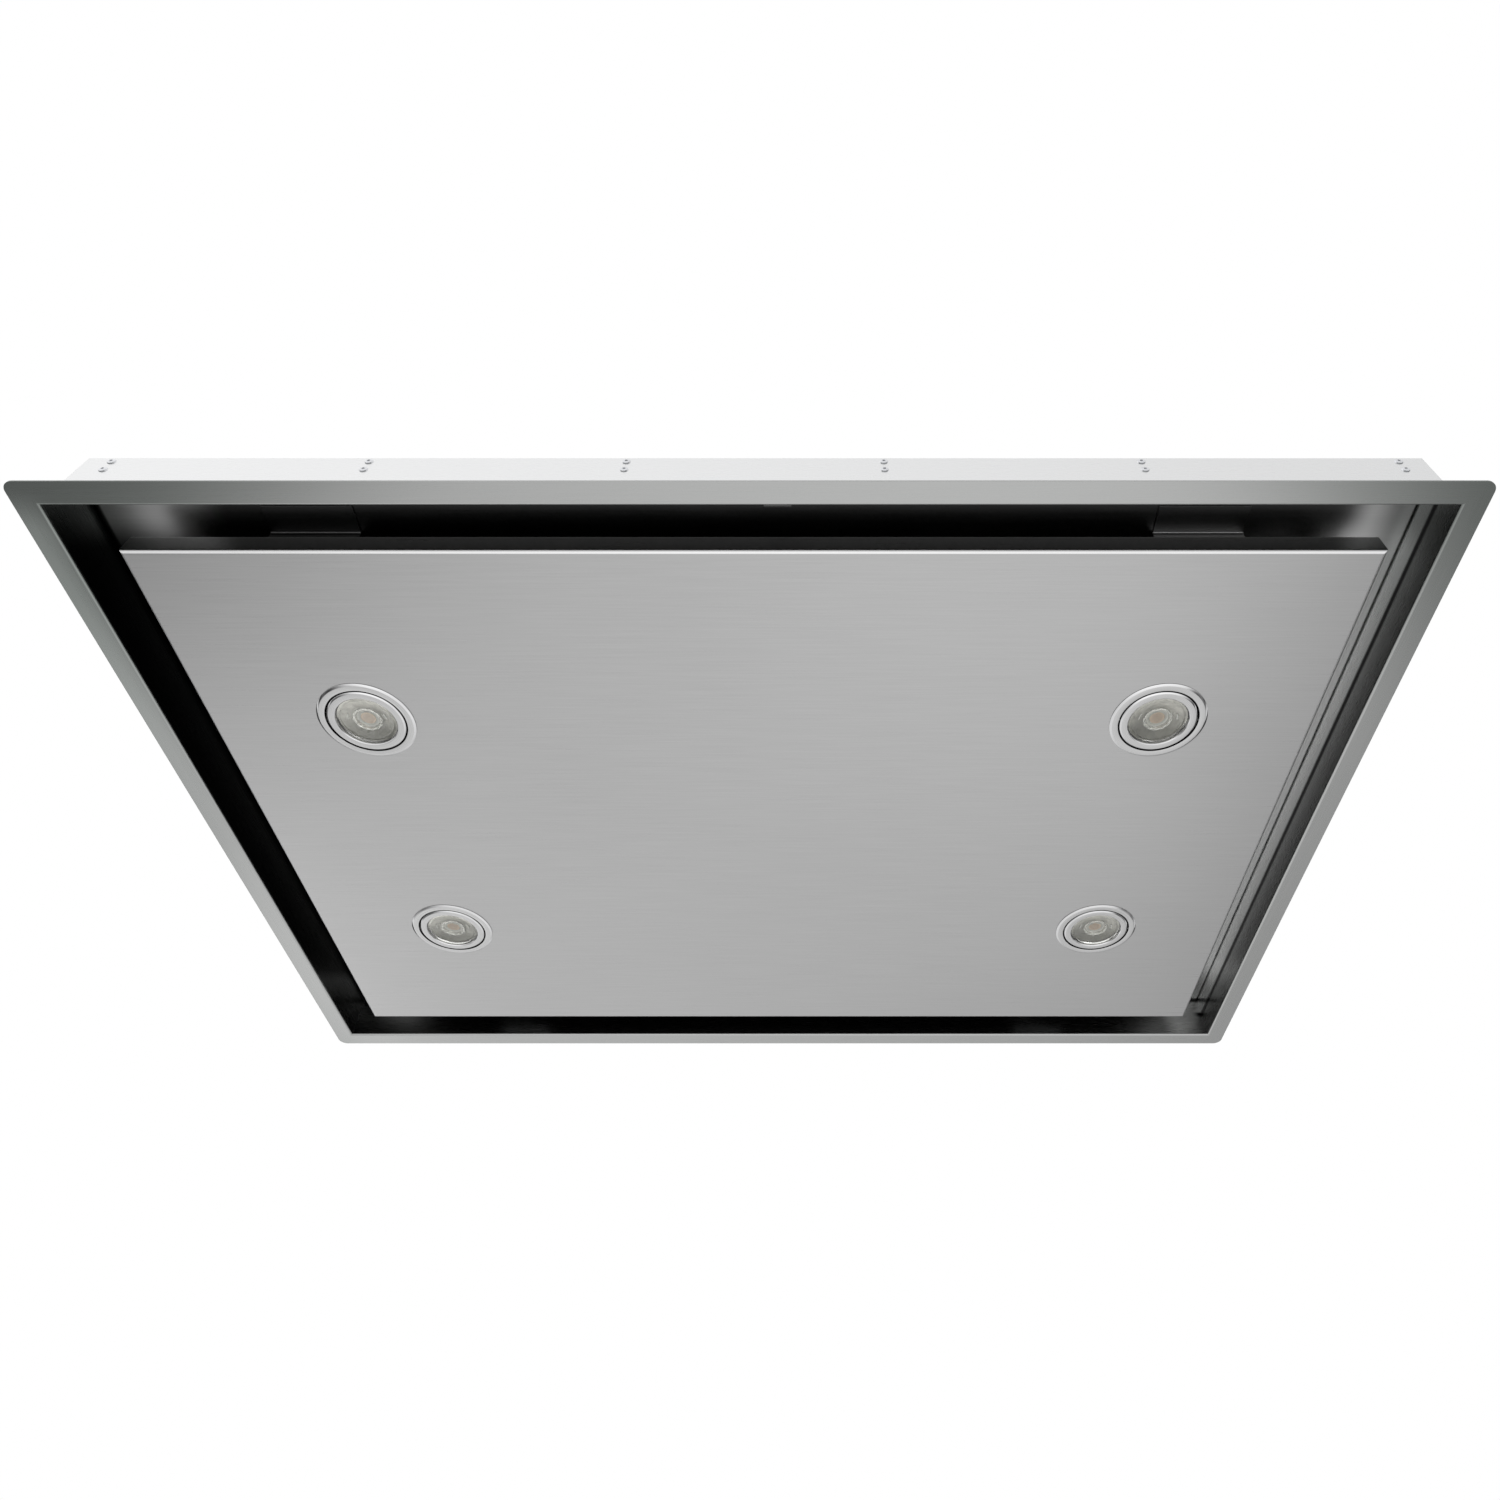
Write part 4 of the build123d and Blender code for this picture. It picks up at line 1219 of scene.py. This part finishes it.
def makeCornerSeams():
    # beads of mastic close the open corners of the folded boxes
    work = bmesh.new()
    radius = cornerSeam["radius"]
    for node, flange in cornerSeam["flange"].items():
        low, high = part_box(node)
        gap = flange + cornerSeam["inset"]
        bottom, top = low.z + cornerSeam["foot"], high.z - cornerSeam["top"]
        bead = [(0.0, bottom), (radius, bottom), (radius, top), (0.0, top)]
        for x in inset(low.x, high.x, gap):
            for y in inset(low.y, high.y, gap):
                turned(work, bead, (x, y), cornerSeam["steps"])
    finishedPiece("cornerSeams", work, "mastic", "casing")


makeCornerSeams()
headTree = makeHeadTree("fastenerHeads", "rivet")
screwTree = makeHeadTree("screwHeads", "darkScrew")
makeWallRivets(headTree)
makeRoofScrews(screwTree)
makePanScrews(screwTree)
print("rivets and screws made")


# filter meshes: zigzag strands side by side make the diamonds of expanded metal

filterMesh = {
    "Cell Length": 9.0 * mm,
    "Row Pitch": 3.6 * mm,
    "Strand Width": 0.8 * mm,
    "Strand Thickness": 0.5 * mm,
}
meshFit = {
    "layers": (0.8 * mm, 3.4 * mm),
    "lift": 1.5 * mm,
    "stagger": 0.25,  # of a cell, from layer to layer
    "grow": 2.0 * mm,
    "latchClear": (28.0 * mm, 14.0 * mm),  # cut out to each side of the latch and beyond it
}


def makeStrandTree():
    tree, setting, out = newShapeTree("expandedMetal", {"Length": 0.3, "Width": 0.3, **filterMesh})
    half = times(tree, setting["Cell Length"], 0.5)
    steps = calc(tree, "FLOOR", calc(tree, "DIVIDE", setting["Length"], half))
    rows = calc(tree, "FLOOR", calc(tree, "DIVIDE", setting["Width"], setting["Row Pitch"]))
    odd = calc(tree, "MODULO", addNode(tree, "GeometryNodeInputIndex")[0], 2.0)

    def line(count, offset):
        way = addNode(tree, "ShaderNodeCombineXYZ", offset)[0]
        values = {"Count": count, "Offset": way}
        modes = {"mode": "OFFSET", "count_mode": "TOTAL"}
        return addNode(tree, "GeometryNodeMeshLine", values, **modes)[0]

    def shifted(shape, offset):
        way = addNode(tree, "ShaderNodeCombineXYZ", offset)[0]
        values = {"Geometry": shape, "Offset": way}
        return addNode(tree, "GeometryNodeSetPosition", values)[0]

    zigzag = shifted(line(steps, {0: half}), {1: times(tree, odd, setting["Row Pitch"])})
    strand = addNode(tree, "GeometryNodeMeshToCurve", {0: zigzag})[0]
    sizes = {"Width": setting["Strand Width"], "Height": setting["Strand Thickness"]}
    kind = "GeometryNodeCurvePrimitiveQuadrilateral"
    section = addNode(tree, kind, sizes, mode="RECTANGLE")[0]
    values = {"Curve": strand, "Profile Curve": section, "Fill Caps": True}
    solid = addNode(tree, "GeometryNodeCurveToMesh", values)[0]
    points = shifted(line(rows, {1: setting["Row Pitch"]}), {0: times(tree, odd, half)})
    closeTree(tree, out, points, solid, "filter")
    return tree


def makeFilterMesh(tree, side):
    low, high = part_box(f"filter_mesh_{side}")
    grow, stagger = meshFit["grow"], filterMesh["Cell Length"] * meshFit["stagger"]
    sizes = {**filterMesh, "Length": high.x - low.x + grow, "Width": high.y - low.y + grow}
    start = plainMesh("start", [(0, 0, 0)])
    work = bmesh.new()
    for layer, lift in enumerate(meshFit["layers"]):
        mesh = shapedBy(tree, "layer", start, sizes)
        x = low.x - grow / 2 + layer * stagger
        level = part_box(f"filter_frame_{side}")[0].z + meshFit["lift"] + lift
        mesh.transform(Matrix.Translation((x, low.y - grow / 2, level)))
        work.from_mesh(mesh)
    # the latch's block stands in the mesh
    clearX, clearY = meshFit["latchClear"]
    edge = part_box(f"filter_latch_{side}")[1].y + clearY
    middle = (low.x + high.x) / 2
    places = [(vertex, vertex.co) for vertex in work.verts]
    inBlock = [vertex for vertex, at in places if at.y < edge and abs(at.x - middle) < clearX]
    bmesh.ops.delete(work, geom=inBlock, context="VERTS")
    mesh = bpy.data.meshes.new(f"filterMesh_{side}")
    work.to_mesh(mesh)
    work.free()
    node, slot = [f"filter_mesh_{side}"], "filter_aluminium"
    newPiece(f"filterMesh_{side}", mesh, "filter", "casing", node, slot)


strandTree = makeStrandTree()
for side in ("left", "right"):
    makeFilterMesh(strandTree, side)
print("filter meshes made")


# room: pale floor far below, soft light, white behind

studio = {
    "floorLevel": -2.4,
    "floorSize": 16.0,
    "floorColor": (0.80, 0.80, 0.79),
    "floorRoughness": 0.7,
    "floorFade": (3.2, 7.6),
    "glow": 0.97,
    # centre x, y, reach x, y and gain: a soft pool of light, then dark cards
    "glowSpots": [
        (0.6, 1.2, 1.9, 1.6, 0.15),
        (-3.2, 0.1, 2.7, 2.6, -0.93),
        (3.5, 2.4, 2.3, 4.5, -0.75),
        (2.9, 0.5, 1.5, 1.2, -0.85),
        (3.5, 6.0, 6.0, 4.0, -0.5),
        (-3.6, 4.8, 1.5, 2.2, 0.9),
        (-0.2, -1.3, 4.6, 2.1, 0.5),
        (-5.0, 1.0, 2.3, 3.4, -0.95),
        (5.1, 0.8, 2.2, 3.2, -0.95),
    ],
    "sideGlow": (1.0, 0.66),
    "worldLight": 0.62,
    # from and to height, then how dark the flag is in front and behind
    "flags": [(0.04, 0.3, 0.7, 0.3), (0.2, 0.55, 1.0, 0.15)],
    "flagsBehind": ((0.0, 0.35), (0.45, 0.7)),
}


def rayMask(tree, *kinds):
    path = addNode(tree, "ShaderNodeLightPath")
    return folded(tree, "MAXIMUM", [path[f"Is {kind} Ray"] for kind in kinds])


def mixedShader(tree, mask, first, second):
    return addNode(tree, "ShaderNodeMixShader", {0: mask, 1: first, 2: second})[0]


def makeFloor():
    half = studio["floorSize"] / 2
    level = studio["floorLevel"]
    corners = [(-half, -half), (half, -half), (half, half), (-half, half)]
    mesh = plainMesh("floor", [(x, y, level) for x, y in corners], [(0, 1, 2, 3)])
    linked("floor", mesh)
    material, tree, shader, place = newMaterial("paleFloor")
    color = (*studio["floorColor"], 1)
    feed(tree, shader, {"Base Color": color, "Roughness": studio["floorRoughness"]})
    # what the metal above mirrors: a lit floor with soft pools and dark cards
    strength = studio["glow"]
    for x, y, reachX, reachY, gain in studio["glowSpots"]:
        offset = vectorCalc(tree, "SUBTRACT", place, (x, y, level))
        away = vectorCalc(tree, "LENGTH", vectorCalc(tree, "DIVIDE", offset, (reachX, reachY, 1.0)))
        strength = times(tree, fade(tree, away, 0.0, 1.0, 1.0 + gain), strength)
    glow = addNode(tree, "ShaderNodeEmission", {"Strength": strength})[0]
    mirrored = rayMask(tree, "Glossy", "Transmission")
    choice = mixedShader(tree, mirrored, shader.outputs[0], glow)
    # to the camera the floor runs out into the white of the room
    outer = fade(tree, vectorCalc(tree, "LENGTH", place), *studio["floorFade"])
    seen = times(tree, outer, rayMask(tree, "Camera"))
    white = addNode(tree, "ShaderNodeEmission", {"Strength": 1.0})[0]
    ending = mixedShader(tree, seen, choice, white)
    feed(tree, tree.nodes["Material Output"], {"Surface": ending})
    mesh.materials.append(material)


def makeWorld():
    world = bpy.data.worlds.new("studio")
    bpy.context.scene.world = world
    world.use_nodes = True
    tree = world.node_tree
    x, y, z = axes(tree, addNode(tree, "ShaderNodeTexCoord")["Generated"])
    mirrored = ranged(tree, x, *studio["sideGlow"], -1.0)
    # dark flags stand round the horizon, taller behind the hood than in front of it
    height, sideways = (calc(tree, "ABSOLUTE", part) for part in (z, x))
    back, apart = studio["flagsBehind"]
    behind = times(tree, fade(tree, y, *back), fade(tree, sideways, *apart))
    for start, end, front, rear in studio["flags"]:
        flag = fade(tree, height, start, end, ranged(tree, behind, front, rear))
        mirrored = times(tree, mirrored, flag)
    shine = rayMask(tree, "Glossy", "Transmission")
    level = mixedValue(tree, shine, studio["worldLight"], mirrored)
    seen = mixedValue(tree, rayMask(tree, "Camera"), level, 1.0)
    feed(tree, tree.nodes["Background"], {"Strength": seen, "Color": (1, 1, 1, 1)})


# name, place, what it is aimed at, size and power
softboxes = [
    ("lowerKey", (1.5, -2.1, -0.9), (0, 0, 0), (1.4, 0.5), 9.0),
    ("lowerFill", (-2.0, 1.2, -1.6), (0, 0, 0), (1.6, 1.6), 9.0),
    ("upperKey", (-1.8, -2.0, 2.2), (0, 0, 0.2), (1.6, 1.6), 16.0),
    ("upperFill", (2.2, 1.8, 1.8), (0, 0, 0.2), (1.6, 1.6), 10.0),
]


def addSoftbox(name, place, aim, size, power):
    light = bpy.data.lights.new(name, "AREA")
    light.shape = "RECTANGLE"
    light.size, light.size_y = size
    light.energy = power
    lamp = linked(name, light)
    lamp.visible_glossy = False
    lamp.location = place
    lamp.rotation_euler = (Vector(aim) - Vector(place)).to_track_quat("-Z", "Y").to_euler()


viewpoint = {
    "place": (0.0496, -0.6754, -0.6145),
    "pitch": 47.117,
    "lens": 24.18,
    "sensor": 36.0,
    "shift": -0.04927,
    "clip": (0.05, 50.0),
}


def makeCamera():
    data = bpy.data.cameras.new("camera")
    data.sensor_fit = "HORIZONTAL"
    data.sensor_width = viewpoint["sensor"]
    data.lens = viewpoint["lens"]
    data.shift_x = viewpoint["shift"]
    data.clip_start, data.clip_end = viewpoint["clip"]
    camera = linked("camera", data)
    camera.location = viewpoint["place"]
    camera.rotation_euler = (radians(90 + viewpoint["pitch"]), 0, 0)
    bpy.context.scene.camera = camera


makeFloor()
makeWorld()
for softbox in softboxes:
    addSoftbox(*softbox)
makeCamera()
bpy.context.scene.view_settings.view_transform = "Standard"
print("studio made")
